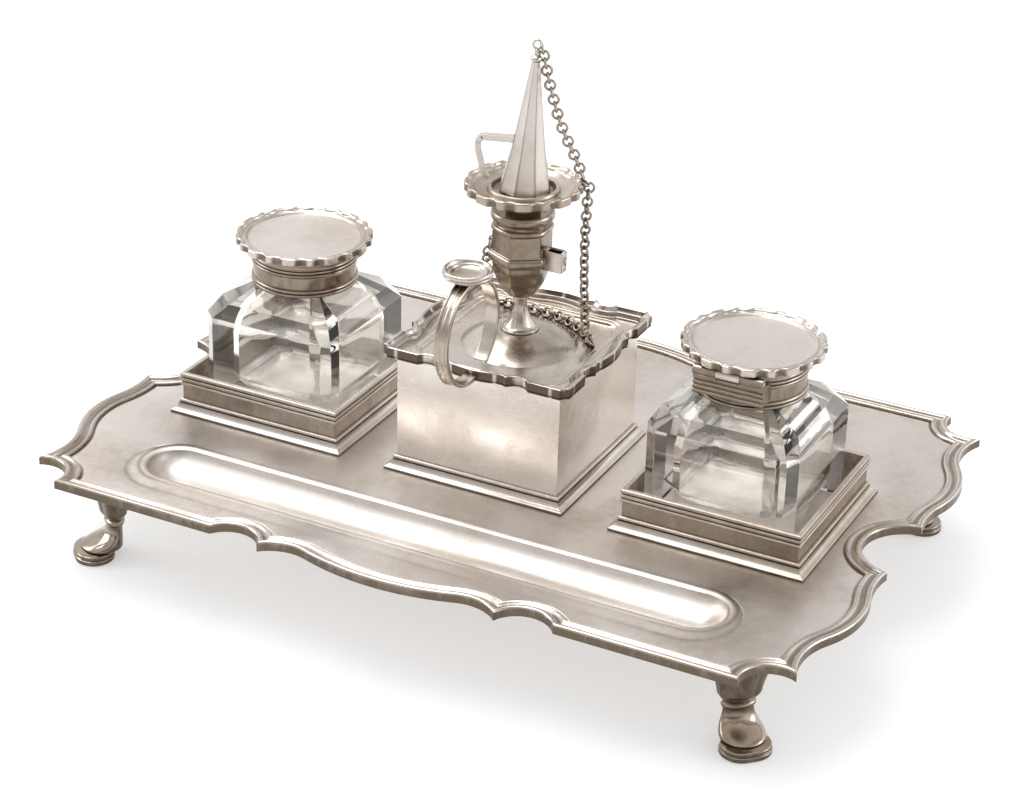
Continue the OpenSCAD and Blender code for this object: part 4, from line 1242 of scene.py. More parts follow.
@dataclass
class Inkwell:
    """A square cut glass well with a silver collar, hinge and lid. side is -1 on the left and 1 on the right."""

    side: int
    middle: float = 89.1
    width: float = 56.0
    cut: float = 5.0
    side_h: float = 38.5
    shoulder: float = 49.3
    neck: float = 17.0
    cavity: float = 14.0
    floor: float = 9.0
    collar_h: float = 12.7
    collar_r: float = 18.9
    hinge_y: float = 21.6
    hinge_len: float = 25.4
    hinge_r: float = 1.7
    pin_r: float = 0.8
    lid_r: float = 25.2
    lid_h: float = 4.9
    scallops: Scallops = Scallops(10, 25.2, 2.45, 1.15, 3.4, 3.0)

    def __post_init__(self) -> None:
        """Works out which well it is and the height of its collar's top above the tray's field."""
        self.word = "left" if self.side < 0 else "right"
        self.collar_top = self.shoulder + self.collar_h
        self.pin_z = self.collar_h - 0.2

    def finished(
        self, shell: Shell, name: str, body: str, finish: Finish, slot: Slot, node: str, crease: float,
        painted: Optional[Callable[[Array], Array]] = None,
    ) -> None:
        """Moves a shell from the well's own place to the tray, with the hinge on its side, and makes the piece.

        Args:
            shell: The shell.
            name: The piece's name, without the side.
            body: The body that it moves with, without the side.
            finish: Its finish.
            slot: The record's slot that it belongs to.
            node: The CAD node that it replaces, without the side.
            crease: The angle between faces above which an edge is sharp, in degrees.
            painted: Gives the grime at places.
        """
        turn = Matrix.Rotation(math.pi if self.side > 0 else 0, 4, "Z")
        shell.moved(Matrix.Translation((self.side * self.middle, 0, FIELD)) @ turn)
        shell.make(
            f"{self.word}_{name}", f"{self.word}_{body}", finish, slot, f"{self.word}_{node}", crease, painted=painted)

    def glass(self) -> None:
        """Builds the glass, a solid block with its ink cavity."""
        half, cut, neck, cavity, top = self.width / 2, self.cut, self.neck, self.cavity, self.side_h
        rise = self.shoulder - top

        def cut_ring(inset: float, more: float, height: float) -> Array:
            """A square with its corners cut.

            Args:
                inset: The distance drawn in.
                more: What is cut off beyond the block's own cut.
                height: The ring's height.

            Returns:
                64 points, with crisp corners.
            """
            h, c = half - inset, cut + more
            k = h - c
            ends = [(h, -k), (h, k), (k, h), (-k, h), (-h, k), (-h, -k), (-k, -h), (k, -h)]
            return lifted(eased(ends, 0.3, 7, closed=True), height)

        wall = cut_ring(0, 0, 0.6)
        around = np.arctan2(wall[:, 1], wall[:, 0])
        shoulder = cut_ring(3.3, 2.2, top + 0.48 * rise)
        rings = [
            cut_ring(0.5, 0, -0.03), wall, cut_ring(0, 0, top - 0.15), cut_ring(0.15, 0.1, top + 0.1),
            cut_ring(2.9, 2.0, top + 0.43 * rise), shoulder,
        ]
        end = circle(neck + 3.0, around, 0.0)
        for t in (0.2, 0.4, 0.6, 0.8, 0.95, 1.0):
            rings.append(lifted((shoulder * (1 - t) + end * t)[:, :2], top + rise * (0.48 + 0.44 * t)))
        mouth = self.collar_top - 3.2
        wide = half - 3.8
        inside = curved([
            (cavity + 0.15, self.shoulder - 1.5), (cavity + 1.2, self.shoulder - 4), (wide - 5.2, top + 0.22 * rise),
            (wide - 1.8, top - 2.5), (wide - 0.1, top - 8),
        ], 4)
        bottom = np.radians(np.linspace(0, 80, 9))
        line = np.vstack([
            [(neck + 0.4, self.shoulder - 0.1), (neck, self.shoulder + 0.4), (neck, mouth - 0.6), (neck - 0.5, mouth)],
            [(cavity + 0.5, mouth), (cavity, mouth - 0.5), (cavity, self.shoulder - 0.5)], inside,
            np.column_stack([wide - 8 + 8 * np.cos(bottom), self.floor + 6.5 - 6.5 * np.sin(bottom)]),
            [(5, self.floor - 0.1)],
        ])
        rings += [circle(r, around, z) for r, z in line]
        shell = Shell().net(rings).fan(rings[-1], (0, 0, self.floor - 0.25)).cap(rings[0][::-1])
        self.finished(shell, "well_glass", "well", Finish.GLASS, Slot.GLASS, "inkwell_glass", 14)

    def collar(self) -> None:
        """Builds the collar with its hinge block and outer knuckles."""
        r, t, h, neck = self.collar_r, 0.8, self.collar_h, self.neck + 0.05
        reeds = (
            [(0.1, 0.0), (t - 0.1, 0.1), (t, 0.5), (t - 0.15, 0.95), (0.1, 1.15)],
            [(0.1, 1.25), (t - 0.2, 1.4), (t, 1.85), (t - 0.25, 2.35), (-0.05, 2.6)],
            [(0.05, 2.7), (0.12, 3.4), (0.12, h - 5.8), (0, h - 5.2)],
            [(0.05, h - 5.1), (0.5, h - 4.95), (0.72, h - 4.5), (0.5, h - 4.05), (0.05, h - 3.9)],
            [(0.05, h - 3.75), (0.5, h - 3.6), (0.75, h - 3.15), (0.5, h - 2.7), (0.05, h - 2.55)],
            [(0.05, h - 2.4), (0.5, h - 2.25), (0.6, h - 1.8), (0.3, h - 1.3), (-0.25, h - 0.8), (-0.35, h - 0.1)],
        )
        outside = np.vstack([curved(np.array(reed) + [r, 0], 3) for reed in reeds])
        mouth = self.cavity + 0.6
        inside = eased([(r - 0.35, h), (mouth, h), (mouth, h - 2.8), (neck, h - 2.8), (neck, 0), (r + t - 0.1, 0)], 0.1)
        shell = Shell().turned(np.vstack([outside, inside]), 128)
        half = self.hinge_len / 2
        shell.joined(Shell().bar(self.hinge_block(half_chord(r - 0.4, half)), -half, half))
        for s in (-1, 1):
            self.knuckle(shell, s * 4.37, s * half, self.pin_z)
            web = np.array([(-1.19, -2.1), (0.9, -2.1), (0.9, -0.5), (-1.19, -0.5)]) + [self.hinge_y, self.pin_z]
            shell.bar(web, s * 4.4, s * (half - 0.05))
        shell.shifted(z=self.shoulder)
        self.finished(shell, "collar_mount", "well", Finish.COLLAR, Slot.PLAIN, "collar", 34)
        dome = curved([(0.78, 0.0), (0.74, 0.18), (0.5, 0.28), (0.0, 0.31)], 3)
        pin = Shell()
        for s in (-1, 1):
            place = Matrix.Translation((s * half, self.hinge_y, self.shoulder + self.pin_z))
            end = Shell().turned(np.vstack([[(self.pin_r, -1.2)], dome]), 24)
            pin.joined(end.moved(place @ Matrix.Rotation(s * math.pi / 2, 4, "Y")))
        self.finished(pin, "pin_ends", "well", Finish.TURNED, Slot.PLAIN, "hinge_pin", 34)

    def hinge_block(self, back: float) -> Array:
        """The section of the reeded block that carries the hinge.

        Args:
            back: The place of its back, inside the collar.

        Returns:
            Places outward and heights.
        """
        reeds, high = 4, 7.2
        pitch = high / reeds
        top, out = self.pin_z - self.hinge_r - 0.1, self.hinge_y - 0.1
        low = top - high
        line = [(back, low), (out, low)]
        for i in range(reeds):
            for a in np.linspace(0.1, math.pi - 0.1, 7):
                line.append((out + 0.4 * pitch * math.sin(a), low + pitch * (i + 0.5) - 0.42 * pitch * math.cos(a)))
        return np.array(line + [(out, top), (back, top)])

    def knuckle(self, shell: Shell, start: float, end: float, height: float) -> None:
        """Adds one piece of the barrel.

        Args:
            shell: The shell that it is added to.
            start: Its place along the hinge.
            end: The place that it runs to.
            height: The height of the pin.
        """
        a, b, bore = min(start, end), max(start, end), self.pin_r + 0.05
        barrel = Shell().turned(eased([(bore, a), (self.hinge_r, a), (self.hinge_r, b), (bore, b)], 0.15), 32)
        turn = Matrix.Rotation(math.pi / 2, 4, "Y")
        shell.joined(barrel.moved(Matrix.Translation((0, self.hinge_y, height)) @ turn))

    def hollows(self, places: Array) -> Array:
        """The painted shade in the hollows of the lid's edge."""
        x, y = (places[:, 0] - self.side * self.middle) * -self.side, places[:, 1] * -self.side
        return self.scallops.grime(x, y, self.lid_h - 0.25 - (places[:, 2] - FIELD - self.collar_top), 1.9, 1.7)

    def lid(self) -> None:
        """Builds the lid and its scalloped border."""
        r, low, top, crest = self.lid_r, 2.3, 3.4, self.lid_h
        seat, edge = self.collar_r - 0.5, r - 1.6
        under = [(15.6, 2.4), (16.0, 0.0), (seat, 0.0), (seat + 0.7, 0.9), (edge - 2.2, 1.8), (edge, low)]
        face = curved([
            (21.4, top), (20.2, top), (19.4, top - 0.06), (14, top - 0.1), (7, top - 0.06), (0, top - 0.05),
        ], 3)
        plate = np.vstack([
            [(0, 2.4), (15.6, 2.4)], eased(under, 0.3)[1:-1], [(edge - 0.05, low), (edge - 0.05, top), (21.4, top)],
            face[1:],
        ])
        shell = Shell().turned(plate, 160)
        self.knuckle(shell, -4.3, 4.3, -0.2)
        tab = np.array([(-3.4, 0.22), (0, 0.22), (0, 1.6), (-3.4, 1.6)]) + [self.hinge_y, -0.2]
        shell.bar(tab, -4.25, 4.25).shifted(z=self.collar_top)
        self.finished(shell, "lid_plate", "lid", Finish.SHEET, Slot.PLAIN, "lid", 34)
        line = curved([
            (-0.15, low), (0, low + 0.2), (0, crest - 0.6), (-0.12, crest - 0.25), (-0.5, crest - 0.02), (-1.1, crest),
            (-1.7, crest - 0.3), (-2.1, crest - 0.75), (-2.6, crest - 0.9), (-3.2, crest - 0.75), (-3.8, crest - 0.8),
            (-4.3, crest - 1.2), (-4.7, top - 0.02),
        ], 3)
        section = np.vstack([
            eased([(edge - 0.1, low), (r - 0.25, low)], 0.1), line + [r, 0], [(edge - 0.1, top - 0.02)],
        ])
        border = Shell().turned(section, 320, self.scallops.edge).shifted(z=self.collar_top)
        self.finished(border, "lid_moulding", "lid", Finish.EDGE, Slot.MOULDED, "lid_border", 40, self.hollows)

    def build(self) -> None:
        """Builds the well."""
        self.glass()
        self.collar()
        self.lid()


# Chamberstick


@dataclass
class Chamberstick:
    """The box's cover: a shaped pan with a stem, a six-sided socket, a ring handle and the fittings for the snuffer."""

    box_h: float = 44.5
    pan_half: float = 37.4
    thick: float = 1.0
    rim_h: float = 3.5
    well: float = 27.0
    sink: float = 1.5
    dome_r: float = 21.0
    dome_h: float = 5.8
    locate_h: float = 4.0
    ridges: tuple[float, ...] = (0.0, 8.6, 19.3, 30.3)
    stem_h: float = 13.4
    foot_r: float = 7.0
    bowl_h: float = 13.8
    drum_h: float = 14.3
    cup_h: float = 4.2
    socket_r: float = 10.9
    handle_r: float = 19.2
    handle_w: float = 5.2
    spigot_r: float = 6.25
    eye_r: float = 1.5
    hexagon_turn: float = 33.5
    side: ShapedSide = field(init=False)

    def __post_init__(self) -> None:
        """Works out the pan's side and the heights above the tray's field."""
        h = self.pan_half
        self.side = ShapedSide(h, h - 1, (17.4, 1.9, 5.0), (10.5, 3.4, 5.0), (h + 1, h + 1, 5.0))
        self.pan_z = self.box_h + self.thick
        self.well_z = self.pan_z - self.sink
        self.stem_z = self.well_z + self.dome_h
        self.bowl_z = self.stem_z + self.stem_h
        self.drum_z = self.bowl_z + self.bowl_h
        self.cup_z = self.drum_z + self.drum_h
        self.top = self.cup_z + self.cup_h
        self.flat = self.socket_r * math.cos(math.radians(30))
        self.eye_x, self.eye_z = self.flat + 2.0, self.drum_z + 0.3 * self.drum_h
        self.handle_y = h + 3.1
        self.handle_z = self.pan_z + self.handle_r + 0.3

    def outline(self, inset: float) -> Array:
        """The pan's outline.

        Args:
            inset: The distance drawn in.

        Returns:
            The outline's points.
        """
        half = self.side.points(inset, 10)
        corner = arc_between(np.array(self.side.corner[:2]), half[0][::-1], half[0], 10)
        return four_quarters(np.vstack([half[:0:-1][:, ::-1], corner, half]))

    def dome(self, shell: Shell, plate: Array, radius: float, height: float) -> None:
        """Adds the low dome in the well, from a plate round its foot up to the flat under the stem.

        Args:
            shell: The shell that it is added to.
            plate: The outline of the flat sheet round its foot.
            radius: Its radius at the foot.
            height: The height of its foot.
        """
        top, h = self.foot_r + 0.3, self.dome_h
        drop = (radius**2 - top**2 - h**2) / (2 * h)
        big = math.hypot(radius, drop)
        tilts = np.linspace(math.asin(radius / big), math.asin(top / big), 16)
        rings = [circle(big * math.sin(t), angles(96), big * math.cos(t) - drop + height) for t in tilts]
        shell.sheet(plate, rings[0]).net(rings).cap(rings[-1])

    def hollows(self, places: Array) -> Array:
        """Painted shade on the border: in the hollows of its outer face, with grime and painted shade low between its
        reeds.

        Args:
            places: The border's points.

        Returns:
            The painted shade and grime, from 0 up.
        """
        x, y, z = np.abs(places[:, 0]), np.abs(places[:, 1]), places[:, 2] - FIELD - self.pan_z
        along = np.where(x > y, y, x)
        ridge = np.max([np.exp(-(((along - u) / 0.8) ** 2)) for u in self.ridges], axis=0)
        face, low = share((self.rim_h - 0.15 - z) / 0.25), share((self.rim_h - 1.2 - z) / 0.4)
        rim = share((np.maximum(x, y) - self.pan_half + 3.2) / 1.2)
        return 1.5 * (1 - 0.95 * ridge) * face * rim + 0.6 * low * (1 - rim)

    def border(self) -> None:
        """Builds the pan's shaped border."""
        h = self.rim_h
        section = np.vstack([
            [
                (1.9, -0.55), (0.3, -0.55), (0.12, -0.45), (0.12, 0.0), (0.45, 0.12), (0.5, 0.3), (0.1, 0.42),
                (0.02, 0.6),
            ],
            curved([
                (0.0, h - 0.75), (0.08, h - 0.3), (0.4, h - 0.04), (0.85, h - 0.02), (1.25, h - 0.25), (1.6, h - 0.8),
                (1.95, h - 1.35),
            ], 3),
            curved([(2.0, h - 1.45), (2.5, h - 1.45), (2.9, h - 1.6), (3.3, h - 2.1), (3.6, h - 2.7)], 3),
            curved([(3.65, h - 2.8), (4.1, h - 2.75), (4.5, h - 3.0), (4.8, h - 3.35), (4.9, 0.0)], 3),
            [(4.9, -0.2), (1.9, -0.2)],
        ])
        moulding(self.outline, section, FIELD + self.pan_z).make(
            "pan_border_moulding", "chamberstick", Finish.PAN_RIM, Slot.MOULDED, "chamberstick_pan_border", crease=34,
            painted=self.hollows)

    def pan(self) -> None:
        """Builds the pan with its sunk well and the dome in it, and the flange that holds it on the box."""
        z, well, thick = FIELD + self.pan_z, FIELD + self.well_z, self.thick
        line = np.vstack([
            curved([(-3.4, 0.0), (-3.1, 0.0), (-2.8, 0.12), (-2.45, 0.16), (-2.1, 0.05), (-1.9, -0.25)], 3),
            curved([
                (-1.85, -0.32), (-1.3, -0.36), (-0.95, -0.45), (-0.6, -0.75), (-0.2, -1.2), (0.3, -1.46), (0.8, -1.5),
            ], 3),
        ])
        rings = [lifted(square_ring(self.well - u, max(5 - u, 2), 8, 6), z + v) for u, v in line]
        shell = Shell().sheet(lifted(self.outline(3.5), z), rings[0]).net(rings)
        self.dome(shell, rings[-1], self.dome_r, well)
        low = FIELD + self.box_h
        edge = [lifted(self.outline(1.7), z - 0.1), lifted(self.outline(1.7), low)]
        sunk = square_ring(self.well + thick, 6, 8, 6)
        under, bottom = lifted(sunk, low), lifted(sunk, well - thick)
        shell.net(edge).sheet(edge[1], under).net([under, bottom])
        self.dome(shell, bottom, self.dome_r - 0.6, well - thick)
        flange = eased([(0, 0.0), (0, -self.locate_h), (1, -self.locate_h), (1, 0.0)], 0.15)
        shell.joined(moulding(lambda d: square_ring(30.5 - d, 0.3, 3, 5), flange, low))
        shell.make("pan_sheet", "chamberstick", Finish.PAN, Slot.PLAIN, "chamberstick_pan", crease=30)

    def stem(self) -> None:
        """Builds the stem."""
        f, n, k, h = self.foot_r, 2.3, 3.1, self.stem_h
        line = np.vstack([
            curved([(f - 0.1, 0.0), (f, 0.2), (f, 0.5), (f - 0.15, 0.8), (0.9 * f, 0.95)], 3),
            curved([
                (0.84 * f, 1.15), (0.72 * f, 2.0), (0.58 * f, 3.6), (0.46 * f, 5.6), (0.37 * f, 7.6), (n, 0.69 * h),
                (n, 0.8 * h), (n + 0.2, 0.87 * h),
            ], 4),
            curved([(k - 0.2, 0.89 * h), (k, 0.92 * h), (k, 0.96 * h), (k - 0.2, 0.985 * h), (k + 0.2, h)], 3),
            [(0, h)],
        ])
        shell = Shell().turned(line).shifted(z=FIELD + self.stem_z)
        shell.make("stem_turning", "chamberstick", Finish.TURNED, Slot.PLAIN, "candle_stem", crease=38)

    def socket_ring(self, radius: float, height: float, hexagon: float) -> Array:
        """A ring of the socket, between a circle and a hexagon.

        Args:
            radius: The distance of a corner.
            height: The height above the bowl's foot.
            hexagon: 0 for a circle, 1 for a hexagon.

        Returns:
            The ring's points.
        """
        spokes = polygon_ring(1.0, 6, self.hexagon_turn, 0.05, 4, 8)
        round_ring = circle(radius, np.arctan2(spokes[:, 1], spokes[:, 0]), 0.0)[:, :2] * (0.9 + 0.1 * hexagon)
        flat_ring = polygon_ring(radius, 6, self.hexagon_turn, 0.5, 4, 8)
        return lifted(round_ring * (1 - hexagon) + flat_ring * hexagon, FIELD + self.bowl_z + height)

    def socket(self) -> None:
        """Builds the six-sided socket, with its bore."""
        r, b, t, bore = self.socket_r, self.bowl_h, self.bowl_h + self.drum_h, self.spigot_r
        bowl_line = curved([
            (4.6, 0.0), (5.6, 0.6), (7.2, 0.19 * b), (8.8, 0.38 * b), (9.75, 0.58 * b), (r - 0.5, 0.78 * b),
            (r - 0.35, 0.93 * b),
        ], 3)
        band = curved([
            (-0.3, -0.7), (0.3, -0.6), (0.95, -0.1), (1.2, 0.8), (1.15, 1.9), (0.75, 2.8), (0, 3.2), (-0.12, 3.5),
        ], 3) + [r, b]
        low = [self.socket_ring(q, z, 0.3 + 0.55 * min(1.0, z / b)) for q, z in np.vstack([bowl_line, band])]
        cup = np.vstack([
            curved([(-0.25, -3.2), (0.2, -3.0), (0.75, -2.4), (0.85, -1.7), (0.5, -1.1), (-0.1, -0.9)], 3),
            curved([(-0.3, -0.7), (-0.2, 0.2), (0.2, 0.9), (0.9, 1.2)], 3),
            curved([(1.0, 1.25), (1.6, 1.7), (1.75, 2.6), (1.65, 3.5), (1.2, 4.1), (0.7, 4.1)], 3),
            curved([(0.3, 3.6), (9.8 - r, 2.6), (8.2 - r, 2.0), (6.9 - r, 1.9), (6.35 - r, 1.8), (bore - r, 1.4)], 3),
        ]) + [r, t]
        high = [self.socket_ring(q, z, max(0.0, 0.7 - i / 22)) for i, (q, z) in enumerate(cup)]
        rings = [*low, self.socket_ring(r - 0.12, t - 3.4, 1.0), *high]
        rings += [self.socket_ring(q / 0.9, t - 6.3, 0.0) for q in (bore, 0.01)]
        shell = Shell().net(rings).cap(rings[0][::-1])
        shell.make("socket_casting", "chamberstick", Finish.SOCKET, Slot.PLAIN, "candle_socket", crease=26)

    def fittings(self) -> None:
        """Builds the loop for the hook and the eye for the chain."""
        ring = eased([(0.05, -2.1), (7.2, -2.1), (7.2, 2.1), (0.05, 2.1)], 0.5, 4, closed=True)
        hole = eased([(1.1, -1.1), (6.2, -1.1), (6.2, 1.1), (1.1, 1.1)], 0.4, 4, closed=True)
        lip = ring * [0.98, 0.95]
        rows = [(hole, 0.3), (lip, 0.0), (ring, 0.3), (ring, 7.2), (lip, 7.5), (hole, 7.2)]
        loop = Shell().net([lifted(q, v) for q, v in rows], tube=True).shifted(self.flat, 0, FIELD + self.drum_z - 2)
        loop.make("hook_loop", "chamberstick", Finish.CAST, Slot.PLAIN, "snuffer_bracket", crease=34)
        eye = Shell().hoop(self.eye_r, 0.4, 40).shifted(-self.eye_x, 0, FIELD + self.eye_z)
        boss = Shell().turned(curved([(0.95, 0.0), (0.9, 0.3), (0.6, 0.6), (0.45, 0.9)], 3), 24)
        place = Matrix.Translation((-self.flat, 0, FIELD + self.eye_z))
        boss.moved(place @ Matrix.Rotation(-math.pi / 2, 4, "Y"))
        eye.joined(boss).make("eye_wire", "chamberstick", Finish.CHAIN, Slot.CHAIN, "chain_eye", crease=60)

    def handle(self) -> None:
        """Builds the ring handle, cut to fit the border."""
        r, w = self.handle_r, self.handle_w / 2
        reed = np.array([(-1.3, 0.25), (-1.1, 0), (-0.2, 0), (0.2, 0.25), (0.2, 0.7), (0, 0.95), (-0.2, 1.3)])
        line = np.vstack([
            curved(reed + [0, -w], 2),
            curved([(-0.25, -0.6), (-0.1, -0.3), (-0.05, 0.0), (-0.1, 0.3), (-0.25, 0.6)], 2),
            curved(reed[::-1] * [1, -1] + [0, w], 2),
            curved([(-1.35, w - 0.6), (-1.25, 0.0), (-1.35, -w + 0.6)], 2),
        ]) + [r, 0]
        gap_y, gap_z = self.handle_y - self.pan_half - 0.02, self.pan_z + self.rim_h + 0.05 - self.handle_z
        rings = []
        for t in np.linspace(math.asin(gap_z / r), 2 * math.pi - math.acos(gap_y / r), 150):
            rings.append(np.column_stack([line[:, 1], line[:, 0] * math.cos(t), line[:, 0] * math.sin(t)]))
        shell = Shell().net(rings).cap(rings[0][::-1]).cap(rings[-1])
        shell.shifted(0, -self.handle_y, FIELD + self.handle_z)
        shell.make("handle_band", "chamberstick", Finish.CAST, Slot.CAST, "ring_handle", crease=40)

    def thumb_plate(self) -> None:
        """Builds the dished plate for the thumb on top of the handle."""
        q = 8.8
        line = np.vstack([
            [(0, 0)],
            curved([
                (2.9, 0.0), (3.3, 0.1), (4.4, 0.3), (q - 2.2, 0.7), (q - 0.9, 1.1), (q - 0.5, 1.45), (q - 0.3, 2.0),
                (q - 0.45, 2.3),
            ], 3),
            curved([
                (q - 0.3, 2.45), (q, 2.8), (q, 3.5), (q - 0.2, 3.95), (q - 0.6, 4.15), (q - 1.05, 4.0), (q - 1.4, 3.5),
                (q - 1.6, 3.1),
            ], 3),
            curved([
                (q - 1.75, 3.0), (q - 2.1, 3.2), (q - 2.5, 3.1), (q - 2.9, 2.6), (q - 3.8, 2.1), (3, 1.75), (0.6, 1.65),
                (0, 1.65),
            ], 3),
        ])
        disc = Shell().turned(line).shifted(0, -self.handle_y, FIELD + self.handle_z + self.handle_r + 0.2)
        disc.make("thumb_dish", "chamberstick", Finish.TURNED, Slot.CAST, "thumb_plate", crease=40)

    def build(self) -> None:
        """Builds the chamberstick."""
        for step in (self.border, self.pan, self.stem, self.socket, self.fittings, self.handle, self.thumb_plate):
            step()


@dataclass
class Nozzle:
    """The loose nozzle: a spigot, a taper bore, and a scalloped drip pan with a raised ring."""

    base: float
    radius: float = 20.8
    lift: float = 8.5
    spigot_r: float = 6.2
    spigot_h: float = 9.5
    taper_r: float = 5.1
    scallops: Scallops = Scallops(8, 20.8, 2.3, 1.0, 3.6, 3.2, SNUFFER_TURN)

    def hollows(self, places: Array) -> Array:
        """The painted shade in the hollows of the drip pan's edge."""
        x, y, z = places.T
        return 0.9 * self.scallops.grime(x, y, self.lift + 1.4 - z + FIELD + self.base, 1.7, 1.6)

    def build(self) -> None:
        """Builds the nozzle."""
        r, z, low, taper, spigot = self.radius, self.lift, -self.spigot_h, self.taper_r, self.spigot_r
        line = np.vstack([
            [(taper, low + 0.2), (taper + 0.2, low), (spigot - 0.3, low), (spigot, low + 0.3), (spigot, 0.0)],
            curved([
                (spigot, 0.3), (spigot, z - 5.4), (6.6, z - 4.2), (7.6, z - 3.5), (10, z - 3.15), (12, z - 2.95),
                (15, z - 2.5), (r - 2.8, z - 1.9), (r - 1.0, z - 1.5),
            ], 3),
            curved([
                (r - 0.4, z - 1.4), (r - 0.05, z - 1.1), (r, z - 0.6), (r, z + 1.1), (r - 0.15, z + 1.6),
                (r - 0.6, z + 1.85), (r - 1.05, z + 1.7), (r - 1.5, z + 1.2), (r - 1.9, z + 0.85), (r - 2.5, z + 0.75),
                (r - 2.9, z + 0.4), (r - 3.6, z - 0.2), (15.4, z - 1.0), (13.4, z - 1.45), (12.95, z - 1.35),
                (12.7, z - 0.7), (12.3, z + 0.05), (11.9, z + 0.28), (11.4, z + 0.25), (11.1, z - 0.2), (10.9, z - 1.0),
                (10.6, z - 1.75), (10.0, z - 2.0), (8, z - 2.1), (6.7, z - 2.15),
            ], 3),
            curved([(6.45, z - 1.9), (6.3, z - 1.3), (6.0, z - 1.15), (5.4, z - 1.15), (taper, z - 1.4)], 2),
            [(taper, z - 2), (taper, low + 0.2)],
        ])
        Shell().turned(line, 256, self.scallops.edge).shifted(z=FIELD + self.base).make(
            "nozzle_turning", "nozzle", Finish.DRIP, Slot.PLAIN, "candle_nozzle", crease=36, painted=self.hollows)


